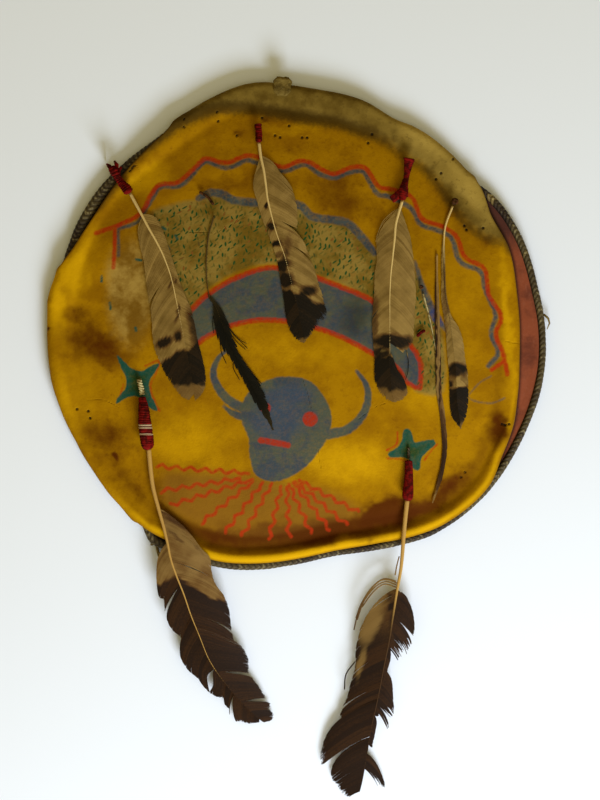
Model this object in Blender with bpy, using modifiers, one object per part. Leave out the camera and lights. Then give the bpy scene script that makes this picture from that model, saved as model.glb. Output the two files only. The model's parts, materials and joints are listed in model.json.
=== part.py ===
"""A round hide shield of the Plains kind, lying on its back with the painted face up.

A slightly dished rawhide disc has its edge bound with lacing. A thin hide cover is stretched
over the face and laps over the rim at the top and on the left. Feathers with cloth wraps, knots
and thongs hang from the cover, and two long ones reach past the lower rim down to the floor.
Metres, +Z out of the painted face, +Y to the top of the shield.
"""
import bpy
from math import atan2, ceil, cos, degrees, pi, radians, sin, sqrt
from mathutils import Matrix, Vector

# The rawhide disc and its bound rim
SHIELD_DIAMETER = 0.452      # mean size over the lacing: an eighteen inch shield
DISC_THICKNESS = 0.005
DISH_DEPTH = 0.020
BACK_FLAT_RADIUS = 0.036     # flat middle of the back, where a stand or a wall pad bears
LACING_WIDTH = 0.011
LACING_HEIGHT = 0.010
LACING_GRIP = 0.0065         # how far the lacing reaches in over the disc's edge
RIM_FLAT = 0.014             # flat margin of the disc that the lacing closes on
LACING_PROFILE = (           # outwards and up, as shares of the lacing's width and height
    (0.14, 1.0), (0.60, 1.0), (0.87, 0.88), (1.0, 0.62), (1.0, 0.38), (0.87, 0.12), (0.60, 0.0), (0.14, 0.0),
)

# The cover
COVER_THICKNESS = 0.0016
HEM_DROP = 0.0060            # how far the cover goes down the outside of the rim
COVER_RISE_LENGTH = 0.010    # how far from the lacing the stretched cover starts to rise
HEM_CORNER = 0.0040
LAP_REACH = 0.0042           # past the rim by this much, the cover is turned right down

# Feathers, wraps and strings
VANE_THICKNESS = 0.0007
HAWK_QUILL_RADIUS = 0.0013
EAGLE_QUILL_RADIUS = 0.0019
SMALL_QUILL_RADIUS = 0.0009
SHAFT_TAPER = 0.62           # share of a shaft's radius that is gone at its tip
SHAFT_RIDGE = 0.6            # half width of a shaft's flat top, as a share of its radius
VANE_LEVELS_OUT = (0.80, 0.95)    # shares of the rim's radius between which a vane turns level
THONG_RADIUS = 0.0013
THREAD_COIL_RADIUS = 0.0026
TUFT_RADIUS = 0.0016
KNOT_RADIUS = 0.0038
SMALL_KNOT_RADIUS = 0.0023
TAB_THICKNESS = 0.0018
TAB_WORN_EDGE = 0.0005

# Clearances
GAP = 0.0003                 # between pieces that touch
LAY_GAP = 0.0006             # under what lies loose: the cover on the lacing, a feather on the cover
END_GAP = 0.0007             # between a wrap and the quill that comes out of it

# The plan is read from a picture of the face: places are in its pixels, about the disc's middle
PICTURE_DIAMETER = 491
PICTURE_MIDDLE = (302, 325)
PIXEL = SHIELD_DIAMETER / PICTURE_DIAMETER

# Angle from +X in degrees and distance from the middle in pixels
RIM_OUTLINE = (
    (-180, 250), (-165, 250), (-150, 249), (-137, 251), (-128, 257), (-121, 263), (-106, 255), (-99, 248),
    (-90, 239), (-81, 234), (-67, 241), (-58, 248), (-45, 251), (-28, 249), (-12, 248), (0, 244),
    (9, 240), (22, 238), (33, 233), (42, 224), (53, 222), (65, 222), (79, 229), (90, 234),
    (103, 243), (118, 239), (129, 238), (142, 244), (154, 248), (167, 248),
)
COVER_OUTLINE = (
    (-180, 255), (-161, 256), (-148, 255), (-137, 256), (-127, 258), (-120, 257), (-110, 252), (-100, 242),
    (-90, 233), (-81, 228), (-71, 231), (-62, 239), (-54, 245), (-41, 247), (-33, 239), (-25, 234),
    (-17, 226), (-7, 219), (8, 217), (20, 221), (30, 219), (38, 226), (48, 228), (60, 229),
    (66, 227), (75, 234), (88, 238), (101, 248), (113, 245), (121, 241), (127, 236), (140, 234),
    (152, 235), (161, 241), (167, 250), (174, 256),
)

# Each feather is a row of stations down its shaft: x, y, vane to the left, vane to the right
HAWK_LEFT = (
    (130, 193, 1, 1), (141, 213, 1, 1), (149, 228, 4, 4), (157, 242, 12, 6), (164, 256, 18, 7),
    (172, 278, 23, 9), (178, 305, 26, 12), (184, 334, 29, 13), (189, 359, 28, 14), (193, 380, 22, 14),
    (195, 393, 14, 9), (196, 401, 4, 3),
)
HAWK_CENTRE = (
    (259, 143, 1, 1), (261, 158, 2, 3), (264, 172, 6, 14), (266, 186, 11, 23), (268, 201, 12, 28),
    (275, 229, 10, 28), (280, 244, 9, 25), (285, 258, 9, 23), (293, 290, 9, 21), (298, 310, 10, 24),
    (303, 325, 10, 20), (308, 336, 6, 10), (311, 342, 2, 2),
)
HAWK_RIGHT = (
    (402, 201, 1, 1), (398, 214, 2, 2), (395, 226, 8, 6), (394, 238, 16, 14), (392, 257, 17, 19),
    (390, 276, 16, 24), (389, 297, 15, 26), (389, 318, 15, 27), (389, 337, 16, 23), (389, 352, 16, 17),
    (389, 368, 15, 9), (390, 382, 14, 12), (391, 393, 10, 13), (393, 401, 5, 8),
)
HAWK_NARROW = (
    (450, 210, 1, 1), (445, 226, 1, 1), (443, 244, 1, 2), (443, 270, 2, 2), (444, 292, 2, 2),
    (446, 307, 2, 3), (449, 322, 3, 6), (452, 345, 5, 10), (455, 372, 7, 11), (456, 397, 8, 9),
    (458, 413, 7, 7), (460, 428, 1, 1),
)
EDGE_ON = (
    (436, 254, 1, 1), (436, 300, 2, 2), (437, 345, 3, 3), (438, 391, 3, 3), (441, 420, 3, 3),
    (442, 448, 3, 3), (440, 467, 3, 3), (437, 483, 3, 3), (432, 504, 1, 1),
)
SMALL_BLACK = (
    (215, 216, 1, 1), (212, 226, 4, 4), (209, 238, 1, 1), (207, 268, 1, 1), (210, 296, 1, 1),
    (218, 311, 4, 5), (224, 328, 7, 8), (231, 347, 8, 8), (241, 366, 8, 8), (253, 389, 7, 7),
    (264, 408, 5, 5), (273, 430, 1, 1),
)
PLUME_STEM = ((422, 294, 1, 1), (427, 312, 1, 1), (431, 330, 1, 1), (433, 341, 1, 1))
LONG_LEFT = (
    (149, 447, 2, 2), (153, 484, 2, 2), (159, 508, 2, 4), (164, 526, 3, 17), (168, 543, 5, 31),
    (171, 558, 9, 37), (177, 576, 17, 36), (184, 594, 22, 36), (191, 615, 23, 38), (199, 635, 20, 35),
    (209, 660, 25, 37), (222, 680, 22, 32), (240, 702, 15, 25), (255, 717, 11, 15), (266, 726, 3, 3),
)
LONG_RIGHT = (
    (407, 498, 2, 2), (404, 528, 2, 2), (401, 566, 2, 2), (397, 590, 7, 4), (393, 616, 25, 19),
    (389, 642, 31, 24), (385, 662, 31, 13), (381, 684, 31, 12), (377, 704, 36, 16), (371, 732, 44, 16),
    (367, 757, 45, 15), (364, 775, 36, 17), (361, 790, 20, 17), (359, 797, 8, 8),
)

# Cloth wraps and ties run into the head of a feather: x, y, radius in metres
WRAP_LEFT = ((110, 167, 0.0032), (119, 179, 0.0040))
WRAP_CENTRE = ((258, 124, 0.0032), (259, 133, 0.0040))
WRAP_RIGHT = ((410, 165, 0.0050), (407, 178, 0.0030), (404, 190, 0.0042))
WRAP_LONG_LEFT = ((143, 398, 0.0052), (146, 422, 0.0060))
WRAP_LONG_RIGHT = ((408, 461, 0.0036), (408, 480, 0.0046))
THONG_SMALL_BLACK = ((200, 193), (208, 198), (214, 206))
THREAD_LONG_LEFT = ((140, 379), (142, 388), (143, 395))
TIE_LONG_RIGHT = ((408, 447), (408, 453), (408, 458))
TUFT = ((424, 331), (420, 333), (416, 337))
LOOP = (
    (155, 538), (155, 544), (157, 552), (160, 560), (166, 564), (173, 561), (176, 554),
)
LOOP_HEIGHT = 0.0035
WRAP_OVERHANG = 0.006        # how far the left wrap's end sticks out past the rim
WRAP_NECK_START = 0.86       # share of its last stretch where a wrap starts to narrow to the quill
WRAP_NECK = 0.8              # its radius at the quill, as a share of the wrap's
KNOT_NARROW_FEATHER = (454, 202)
KNOT_PLUME = (420, 288)
TAB = ((282, 96), (283, 88), (283, 77))
TAB_WIDTH = 0.0175

# How finely the free forms are cut
RIM_STEPS = 72
DISC_RINGS = (0.34, 0.58, 0.80)
COVER_RINGS = (0.0, 0.22, 0.43, 0.64, 0.83)
COVER_EDGE_RINGS = (0.025, 0.020, 0.0145, 0.0083, 0.0062, 0.0041, 0.0020, 0.0)
COVER_PATH_STEPS = 90
HEM_STEPS = 4
STATION_SPACING = 0.0158
SHAFT_PROBE = 0.010

COLLECTION = "hide_shield"


def smooth_through(points, x, period=None):
    """The value at x on a smooth curve through (x, value) points, which may run round in a circle."""
    points = list(points)
    if period:
        x = points[0][0] + (x - points[0][0]) % period
        first, second = points[0], points[1]
        last = points[-1]
        points = (
            [(last[0] - period, last[1])] + points
            + [(first[0] + period, first[1]), (second[0] + period, second[1])]
        )
    else:
        points = [points[0]] + points + [points[-1]]
    index = 1
    while index < len(points) - 3 and x > points[index + 1][0]:
        index += 1
    (xa, ya), (x0, y0), (x1, y1), (xb, yb) = points[index - 1:index + 3]
    span = x1 - x0
    share = min(max((x - x0) / span, 0.0), 1.0)
    slope0 = (y1 - ya) / (x1 - xa) * span
    slope1 = (yb - y0) / (xb - x0) * span
    square, cube = share ** 2, share ** 3
    return (
        (2 * cube - 3 * square + 1) * y0 + (cube - 2 * square + share) * slope0
        + (3 * square - 2 * cube) * y1 + (cube - square) * slope1
    )


def ease(low, high, value):
    share = min(max((value - low) / (high - low), 0.0), 1.0)
    return share * share * (3 - 2 * share)


def at(place):
    """A picture place as metres from the disc's middle."""
    return Vector(((place[0] - PICTURE_MIDDLE[0]) * PIXEL, (PICTURE_MIDDLE[1] - place[1]) * PIXEL))


def rim_radius(angle):
    return smooth_through(RIM_OUTLINE, angle, 360) * PIXEL


def cover_radius(angle):
    return smooth_through(COVER_OUTLINE, angle, 360) * PIXEL


def disc_top(radius, angle):
    """Height of the rawhide's painted side: flat in the middle, domed, then a flat margin."""
    flat_end = rim_radius(angle) - RIM_FLAT
    share = min(max((radius - BACK_FLAT_RADIUS) / (flat_end - BACK_FLAT_RADIUS), 0.0), 1.0)
    return (LACING_HEIGHT + DISC_THICKNESS) / 2 + DISH_DEPTH * (1 - share ** 2)


def lapped(angle):
    """1 where the cover goes over the rim and down its outside, 0 where it stops on top."""
    return ease(0.0, LAP_REACH, cover_radius(angle) - rim_radius(angle))


def resting_height(radius, angle):
    """Height of the cover's inner face: on the disc, rising near the rim, then on the lacing."""
    rim = rim_radius(angle)
    rise_to = rim - LACING_WIDTH - COVER_THICKNESS
    on_disc = disc_top(radius, angle) + GAP
    on_lacing = max(LACING_HEIGHT + LAY_GAP, on_disc)
    return on_disc + (on_lacing - on_disc) * ease(rise_to - COVER_RISE_LENGTH, rise_to, radius)


def cover_underside(angle):
    """The cover's inner face from the middle to its hem, as (radius, height) points."""
    over = lapped(angle)
    wall = cover_radius(angle) - COVER_THICKNESS * over
    if over > 0:
        wall = max(wall, rim_radius(angle) + GAP)
    bend = wall - HEM_CORNER * over
    radii = [bend * step / COVER_PATH_STEPS for step in range(COVER_PATH_STEPS + 1)]
    path = [(radius, resting_height(radius, angle)) for radius in radii]
    if over > 0:
        top = path[-1][1]
        for step in range(1, HEM_STEPS + 1):
            turn = radians(90) * over * step / HEM_STEPS
            path.append((bend + HEM_CORNER * sin(turn), top - HEM_CORNER * (1 - cos(turn))))
        path.append((path[-1][0], path[-1][1] - (HEM_DROP - HEM_CORNER) * over))
    return path


def spaced(path, shares, from_end):
    """Points of a line: at shares of the way to the last stretch, then at distances from its end."""
    lengths = [0.0]
    for (xa, ya), (xb, yb) in zip(path, path[1:]):
        lengths.append(lengths[-1] + sqrt((xb - xa) ** 2 + (yb - ya) ** 2))
    total = lengths[-1]
    goals = [share * (total - from_end[0]) for share in shares] + [total - distance for distance in from_end]
    points = []
    for goal in goals:
        index = 0
        while index < len(path) - 2 and lengths[index + 1] < goal:
            index += 1
        part = (goal - lengths[index]) / max(lengths[index + 1] - lengths[index], 1e-9)
        points.append(tuple(a + (b - a) * part for a, b in zip(path[index], path[index + 1])))
    return points


def thickened(points, thickness):
    """A (radius, height) line moved outwards by a thickness, square to itself."""
    moved = []
    for index, (radius, height) in enumerate(points):
        before = points[max(index - 1, 0)]
        after = points[min(index + 1, len(points) - 1)]
        run, rise = after[0] - before[0], after[1] - before[1]
        size = sqrt(run * run + rise * rise)
        moved.append((max(radius - rise / size * thickness, 0.0), height + run / size * thickness))
    moved[0] = (0.0, moved[0][1])
    return moved


def material(name, colour, roughness=0.7):
    made = bpy.data.materials.get(name)
    if made is None:
        made = bpy.data.materials.new(name)
        made.use_nodes = True
        shader = made.node_tree.nodes["Principled BSDF"]
        shader.inputs["Base Color"].default_value = (*colour, 1.0)
        shader.inputs["Roughness"].default_value = roughness
        shader.inputs["Metallic"].default_value = 0.0
        made.diffuse_color = (*colour, 1.0)
    return made


PAINTED_RAWHIDE = ("red_painted_rawhide", (0.20, 0.06, 0.04), 0.75)
LACING_HIDE = ("dark_lacing", (0.06, 0.04, 0.025), 0.7)
COVER_HIDE = ("yellow_painted_hide", (0.45, 0.23, 0.02), 0.8)
BARE_HIDE = ("bare_hide", (0.30, 0.22, 0.12), 0.8)
HAWK_BARRED = ("barred_feather", (0.26, 0.18, 0.08), 0.65)
DARK_FEATHER = ("dark_feather", (0.045, 0.03, 0.022), 0.6)
RED_CLOTH = ("red_cloth", (0.20, 0.012, 0.01), 0.9)
THREAD = ("pale_thread", (0.55, 0.48, 0.32), 0.85)


def finish(target, finish_of):
    target.data.materials.clear()
    target.data.materials.append(material(*finish_of))
    if target.type == "MESH":
        target.data.shade_smooth()
        target.data.set_sharp_from_angle(angle=radians(40))
    return target


def mesh_object(name, points, faces, finish_of):
    data = bpy.data.meshes.new(name)
    data.from_pydata(points, [], faces)
    data.validate()
    made = bpy.data.objects.new(name, data)
    parts.objects.link(made)
    return finish(made, finish_of)


def turned_sections(name, sections, finish_of):
    """A closed solid lofted round the middle. Each section is a (radius, height) line that starts and
    ends on the axis, and the first and last steps next to the axis make its two flat middles."""
    count = len(sections)
    rows = len(sections[0])
    points = []
    for index, section in enumerate(sections):
        angle = 2 * pi * index / count
        points += [(radius * cos(angle), radius * sin(angle), height) for radius, height in section[1:-1]]
    inner = rows - 2
    faces = []
    for index in range(count):
        here, there = index * inner, ((index + 1) % count) * inner
        faces += [(here + row, here + row + 1, there + row + 1, there + row) for row in range(inner - 1)]
    faces.append([index * inner for index in range(count)])
    faces.append([index * inner + inner - 1 for index in reversed(range(count))])
    return mesh_object(name, points, faces, finish_of)


def make_disc():
    sections = []
    for index in range(RIM_STEPS):
        angle = 360 * index / RIM_STEPS
        edge = rim_radius(angle) - LACING_WIDTH + LACING_GRIP
        bend = rim_radius(angle) - RIM_FLAT
        radii = [BACK_FLAT_RADIUS]
        radii += [BACK_FLAT_RADIUS + (bend - BACK_FLAT_RADIUS) * share for share in DISC_RINGS]
        radii += [bend, edge]
        top = [(radius, disc_top(radius, angle)) for radius in radii]
        under = [(radius, height - DISC_THICKNESS) for radius, height in reversed(top)]
        sections.append([(0, top[0][1])] + top + under + [(0, under[-1][1])])
    return turned_sections("rawhide_disc", sections, PAINTED_RAWHIDE)


def lacing_section(angle):
    """A rounded binding, slotted for the disc's edge and flat where it lies on the floor."""
    inner = rim_radius(angle) - LACING_WIDTH
    slot_end = inner + LACING_GRIP + GAP
    low = (LACING_HEIGHT - DISC_THICKNESS) / 2 - GAP
    high = (LACING_HEIGHT + DISC_THICKNESS) / 2 + GAP
    outside = [(inner + across * LACING_WIDTH, up * LACING_HEIGHT) for across, up in LACING_PROFILE]
    return [(inner, high)] + outside + [(inner, low), (slot_end, low), (slot_end, high)]


def make_lacing():
    points, faces = [], []
    for index in range(RIM_STEPS):
        angle = 360 * index / RIM_STEPS
        turn = radians(angle)
        section = lacing_section(angle)
        points += [(radius * cos(turn), radius * sin(turn), height) for radius, height in section]
    corners = len(section)
    for index in range(RIM_STEPS):
        here, there = index * corners, ((index + 1) % RIM_STEPS) * corners
        for row in range(corners):
            after = (row + 1) % corners
            faces.append((here + row, here + after, there + after, there + row))
    return mesh_object("rim_lacing", points, faces, LACING_HIDE)


def make_cover():
    sections = []
    for index in range(RIM_STEPS):
        angle = 360 * index / RIM_STEPS
        under = spaced(cover_underside(angle), COVER_RINGS, COVER_EDGE_RINGS)
        over = thickened(under, COVER_THICKNESS)
        sections.append(over + list(reversed(under)))
    return turned_sections("hide_cover", sections, COVER_HIDE)


def ground(place):
    """Height of what a loose piece lies on at a plan place: the cover, the bound rim or the floor."""
    radius = place.length
    angle = degrees(atan2(place.y, place.x))
    if radius > max(rim_radius(angle), cover_radius(angle)):
        return 0.0
    return resting_height(radius, angle) + COVER_THICKNESS


def ground_under(place, reach):
    """The highest ground within reach of a round piece's middle."""
    around = [place + Vector((cos(turn * pi / 4), sin(turn * pi / 4))) * reach for turn in range(8)]
    return max(ground(spot) for spot in around + [place])


def resampled(stations):
    """Stations on a smooth line, in metres, spaced evenly: place, left and right widths."""
    rows = [(at(station), station[2] * PIXEL, station[3] * PIXEL) for station in stations]
    lengths = [0.0]
    for before, after in zip(rows, rows[1:]):
        lengths.append(lengths[-1] + (after[0] - before[0]).length)
    tracks = [
        [(length, value) for length, value in zip(lengths, values)]
        for values in zip(*[(row[0].x, row[0].y, row[1], row[2]) for row in rows])
    ]
    count = max(ceil(lengths[-1] / STATION_SPACING), 4)
    goals = [END_GAP + (lengths[-1] - END_GAP) * index / count for index in range(count + 1)]
    return [[smooth_through(track, goal) for track in tracks] for goal in goals]


def heading(rows, index):
    before, after = rows[max(index - 1, 0)], rows[min(index + 1, len(rows) - 1)]
    return Vector((after[0] - before[0], after[1] - before[1])).normalized()


def stiff_line(distances, heights):
    """The lowest line over these heights that a stiff shaft can take: it never dips between them."""
    hull = []
    for point in zip(distances, heights):
        while len(hull) > 1:
            (xa, ya), (xb, yb) = hull[-2], hull[-1]
            if (yb - ya) * (point[0] - xa) > (point[1] - ya) * (xb - xa):
                break
            hull.pop()
        hull.append(point)
    line = []
    for distance in distances:
        index = 0
        while index < len(hull) - 2 and hull[index + 1][0] < distance:
            index += 1
        (xa, ya), (xb, yb) = hull[index], hull[index + 1]
        line.append(ya + (yb - ya) * (distance - xa) / (xb - xa))
    return line


def laid_heights(rows):
    """For each station the height and the side slope at which a flat feather lies on the ground."""
    slopes, needed = [], []
    for index, (x, y, left, right) in enumerate(rows):
        forward = heading(rows, index)
        side = Vector((-forward.y, forward.x))
        middle = Vector((x, y))
        inside = 1 - ease(*VANE_LEVELS_OUT, middle.length / rim_radius(degrees(atan2(y, x))))
        step = SHAFT_PROBE
        slope = inside * (ground(middle + side * step) - ground(middle - side * step)) / (2 * step)
        slopes.append(slope)
        offsets = (-left, -left / 2, 0.0, right / 2, right)
        needed.append(max(ground(middle + side * across) - slope * across for across in offsets))
    distances = [0.0]
    for before, after in zip(rows, rows[1:]):
        distances.append(distances[-1] + Vector((after[0] - before[0], after[1] - before[1])).length)
    return stiff_line(distances, needed), slopes


def make_feather(name, stations, quill_radius, finish_of):
    """A vane with a raised shaft, lying on what is under it."""
    rows = resampled(stations)
    heights, slopes = laid_heights(rows)
    half = VANE_THICKNESS / 2
    points = []
    for index, (x, y, left, right) in enumerate(rows):
        shaft = quill_radius * (1 - SHAFT_TAPER * index / (len(rows) - 1))
        ridge = SHAFT_RIDGE * shaft
        left, right = max(left, shaft), max(right, shaft)
        section = (
            (-left, shaft - half), (-ridge, 0.0), (ridge, 0.0), (right, shaft - half),
            (right, shaft + half), (ridge, 2 * shaft), (-ridge, 2 * shaft), (-left, shaft + half),
        )
        forward = heading(rows, index)
        side = Vector((-forward.y, forward.x))
        for across, up in section:
            place = Vector((x, y)) + side * across
            points.append((place.x, place.y, heights[index] + slopes[index] * across + LAY_GAP + up))
    corners = len(section)
    faces = []
    for index in range(len(rows) - 1):
        here, there = index * corners, (index + 1) * corners
        for row in range(corners):
            after = (row + 1) % corners
            faces.append((here + row, here + after, there + after, there + row))
    last = (len(rows) - 1) * corners
    faces.append(tuple(reversed(range(corners))))
    faces.append(tuple(last + row for row in range(corners)))
    return mesh_object(name, points, faces, finish_of)


def make_rod(name, route, finish_of, heights=None, overhang=0.0):
    """A round piece along places with a radius each, lying on the ground or at given heights."""
    data = bpy.data.curves.new(name, "CURVE")
    data.dimensions = "3D"
    data.bevel_depth = 1.0
    data.bevel_resolution = 2
    data.use_fill_caps = True
    spline = data.splines.new("POLY")
    spline.points.add(len(route) - 1)
    for index, (place, radius) in enumerate(route):
        height = heights[index] if heights else ground_under(place, radius + overhang) + LAY_GAP + radius
        spline.points[index].co = (place.x, place.y, height, 1.0)
        spline.points[index].radius = radius
    made = bpy.data.objects.new(name, data)
    parts.objects.link(made)
    return finish(made, finish_of)


def make_wrap(name, places, feather, finish_of, overhang=0.0):
    """Cloth or hide rolled round the head of a quill: it ends where the feather's line starts."""
    head = at(feather[0])
    route = [(at(place), place[2]) for place in places]
    last = route[-1]
    route.append((last[0].lerp(head, WRAP_NECK_START), last[1]))
    route.append((head, last[1] * WRAP_NECK))
    return make_rod(name, route, finish_of, overhang=overhang)


def make_string(name, places, radius, finish_of):
    return make_rod(name, [(at(place), radius) for place in places], finish_of)


def make_knot(name, place, radius, finish_of):
    middle = at(place)
    bpy.ops.mesh.primitive_uv_sphere_add(segments=12, ring_count=8, radius=radius)
    made = bpy.context.object
    made.name = made.data.name = name
    made.location = (middle.x, middle.y, ground_under(middle, radius) + LAY_GAP + radius)
    for holder in list(made.users_collection):
        holder.objects.unlink(made)
    parts.objects.link(made)
    return finish(made, finish_of)


def make_tab():
    """The stub of a hide strip that lies over the top edge, with its end past the rim."""
    places = [at(place) for place in TAB]
    height = max(ground(place) for place in places[:2]) + LAY_GAP
    bpy.ops.mesh.primitive_cube_add(size=1.0)
    made = bpy.context.object
    made.name = made.data.name = "hanging_tab"
    run = places[-1] - places[0]
    made.data.transform(Matrix.Diagonal((TAB_WIDTH, run.length, TAB_THICKNESS, 1.0)))
    middle = places[0].lerp(places[-1], 0.5)
    made.location = (middle.x, middle.y, height + TAB_THICKNESS / 2)
    made.rotation_euler = (0.0, 0.0, atan2(run.y, run.x) - radians(90))
    for holder in list(made.users_collection):
        holder.objects.unlink(made)
    parts.objects.link(made)
    bevel = made.modifiers.new("worn_edges", "BEVEL")
    bevel.width = TAB_WORN_EDGE
    bevel.segments = 1
    return finish(made, BARE_HIDE)


def make_loop():
    """A thong loop that hangs from the lower left of the rim and lies under the long feather."""
    places = [at(place) for place in LOOP]
    clear = THONG_RADIUS + GAP
    for index in (0, len(places) - 1):
        place = places[index]
        angle = degrees(atan2(place.y, place.x))
        wall = max(rim_radius(angle), cover_radius(angle) * lapped(angle)) + clear
        places[index] = place.normalized() * wall
    heights = [LOOP_HEIGHT] + [THONG_RADIUS + GAP] * (len(places) - 2) + [LOOP_HEIGHT]
    return make_rod("thong_loop", [(place, THONG_RADIUS) for place in places], LACING_HIDE, heights)


def settle_on_origin():
    """Moves the shield so that the middle of its box's underside is the origin."""
    bpy.context.view_layer.update()
    graph = bpy.context.evaluated_depsgraph_get()
    corners = []
    for made in parts.objects:
        seen = made.evaluated_get(graph)
        data = seen.to_mesh()
        corners += [seen.matrix_world @ vertex.co for vertex in data.vertices]
        seen.to_mesh_clear()
    low = [min(corner[axis] for corner in corners) for axis in range(3)]
    high = [max(corner[axis] for corner in corners) for axis in range(3)]
    carrier = bpy.data.objects.new("shield_placement", None)
    parts.objects.link(carrier)
    carrier.location = (-(low[0] + high[0]) / 2, -(low[1] + high[1]) / 2, -low[2])
    for made in list(parts.objects):
        if made is not carrier:
            made.parent = carrier


for leftover in list(bpy.data.objects):
    bpy.data.objects.remove(leftover, do_unlink=True)
parts = bpy.data.collections.new(COLLECTION)
bpy.context.scene.collection.children.link(parts)

make_disc()
make_lacing()
make_cover()
make_tab()
make_loop()
make_feather("barred_feather_left", HAWK_LEFT, HAWK_QUILL_RADIUS, HAWK_BARRED)
make_feather("barred_feather_centre", HAWK_CENTRE, HAWK_QUILL_RADIUS, HAWK_BARRED)
make_feather("barred_feather_right", HAWK_RIGHT, HAWK_QUILL_RADIUS, HAWK_BARRED)
make_feather("narrow_barred_feather", HAWK_NARROW, SMALL_QUILL_RADIUS, HAWK_BARRED)
make_feather("edge_on_feather", EDGE_ON, SMALL_QUILL_RADIUS, DARK_FEATHER)
make_feather("small_black_feather", SMALL_BLACK, SMALL_QUILL_RADIUS, DARK_FEATHER)
make_feather("plume_stem", PLUME_STEM, SMALL_QUILL_RADIUS, THREAD)
make_feather("long_feather_left", LONG_LEFT, EAGLE_QUILL_RADIUS, DARK_FEATHER)
make_feather("long_feather_right", LONG_RIGHT, EAGLE_QUILL_RADIUS, DARK_FEATHER)
make_wrap("cloth_wrap_left", WRAP_LEFT, HAWK_LEFT, RED_CLOTH, WRAP_OVERHANG)
make_wrap("cloth_wrap_centre", WRAP_CENTRE, HAWK_CENTRE, RED_CLOTH)
make_wrap("cloth_wrap_right", WRAP_RIGHT, HAWK_RIGHT, RED_CLOTH)
make_wrap("cloth_wrap_long_left", WRAP_LONG_LEFT, LONG_LEFT, RED_CLOTH)
make_wrap("cloth_wrap_long_right", WRAP_LONG_RIGHT, LONG_RIGHT, RED_CLOTH)
make_string("thong_small_feather", THONG_SMALL_BLACK, THONG_RADIUS, LACING_HIDE)
make_string("thread_coil_left", THREAD_LONG_LEFT, THREAD_COIL_RADIUS, THREAD)
make_string("tie_long_right", TIE_LONG_RIGHT, THONG_RADIUS, LACING_HIDE)
make_knot("knot_narrow_feather", KNOT_NARROW_FEATHER, KNOT_RADIUS, LACING_HIDE)
make_knot("knot_plume", KNOT_PLUME, SMALL_KNOT_RADIUS, LACING_HIDE)
make_string("red_tuft", TUFT, TUFT_RADIUS, RED_CLOTH)
settle_on_origin()
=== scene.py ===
"""The looks of a round painted hide shield, lying on its back: laced rim, stretched cover, feathers.

Every place is read in pixels of the picture of its face and turned into metres about the disc's middle.
"""
import json
import bpy
import numpy as np
from math import cos, pi, radians, sin
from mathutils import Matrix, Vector


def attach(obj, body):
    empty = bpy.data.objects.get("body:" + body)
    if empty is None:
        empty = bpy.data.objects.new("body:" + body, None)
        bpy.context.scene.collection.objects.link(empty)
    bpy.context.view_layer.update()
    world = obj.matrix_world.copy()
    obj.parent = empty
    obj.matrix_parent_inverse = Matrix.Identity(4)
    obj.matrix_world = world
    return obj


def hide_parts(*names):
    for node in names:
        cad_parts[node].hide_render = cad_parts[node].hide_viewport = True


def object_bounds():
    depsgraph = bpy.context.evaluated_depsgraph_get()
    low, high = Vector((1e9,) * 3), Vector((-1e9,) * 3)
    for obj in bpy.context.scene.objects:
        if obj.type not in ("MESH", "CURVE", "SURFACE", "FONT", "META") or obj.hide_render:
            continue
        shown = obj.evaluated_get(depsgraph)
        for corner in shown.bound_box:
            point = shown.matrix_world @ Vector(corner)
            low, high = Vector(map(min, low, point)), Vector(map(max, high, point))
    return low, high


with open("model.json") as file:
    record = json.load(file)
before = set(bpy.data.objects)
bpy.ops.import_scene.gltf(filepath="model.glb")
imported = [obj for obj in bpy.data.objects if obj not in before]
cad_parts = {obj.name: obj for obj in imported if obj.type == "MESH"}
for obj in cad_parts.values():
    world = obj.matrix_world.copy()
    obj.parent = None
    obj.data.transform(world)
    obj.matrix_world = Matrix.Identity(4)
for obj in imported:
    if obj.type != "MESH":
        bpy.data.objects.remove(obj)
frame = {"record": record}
cad_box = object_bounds()

# The floor, the light and the camera
# A pale floor takes the soft shadows. A cool window of light comes from beyond the foot of the shield
# and warm light fills in from all round. The camera looks straight down on the face.
PICTURE = (600, 800)
PICTURE_MIDDLE = (302, 325)
PIXEL = 0.452 / 491
middle_x, middle_y, _ = frame["record"]["mounts"][0]["pos_m"]
CAMERA_HEIGHT = 1.9
FOCUS_HEIGHT = 0.012
SENSOR = 36.0


def srgb(red, green, blue):
    """A colour as it is seen on a screen, 0 to 255, as the numbers that the shader wants."""
    parts = [channel / 255 for channel in (red, green, blue)]
    return tuple(c / 12.92 if c <= 0.04045 else ((c + 0.055) / 1.055) ** 2.4 for c in parts) + (1.0,)


def add_light(name, place, target, width, height, watts, colour):
    data = bpy.data.lights.new(name, "AREA")
    data.shape = "RECTANGLE"
    data.size = width
    data.size_y = height
    data.energy = watts
    data.color = colour
    lamp = bpy.data.objects.new(name, data)
    lamp.location = place
    lamp.rotation_euler = (Vector(target) - Vector(place)).to_track_quat("-Z", "Y").to_euler()
    bpy.context.scene.collection.objects.link(lamp)


bpy.ops.mesh.primitive_plane_add(size=8.0, location=(0, 0, cad_box[0][2] - 0.0002))
floor = bpy.context.object
floor.name = "floor"
floor_paint = bpy.data.materials.new("pale_floor")
floor_paint.use_nodes = True
floor_paint.node_tree.nodes["Principled BSDF"].inputs["Base Color"].default_value = srgb(233, 238, 250)
floor_paint.node_tree.nodes["Principled BSDF"].inputs["Roughness"].default_value = 0.9
floor.data.materials.append(floor_paint)

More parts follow.
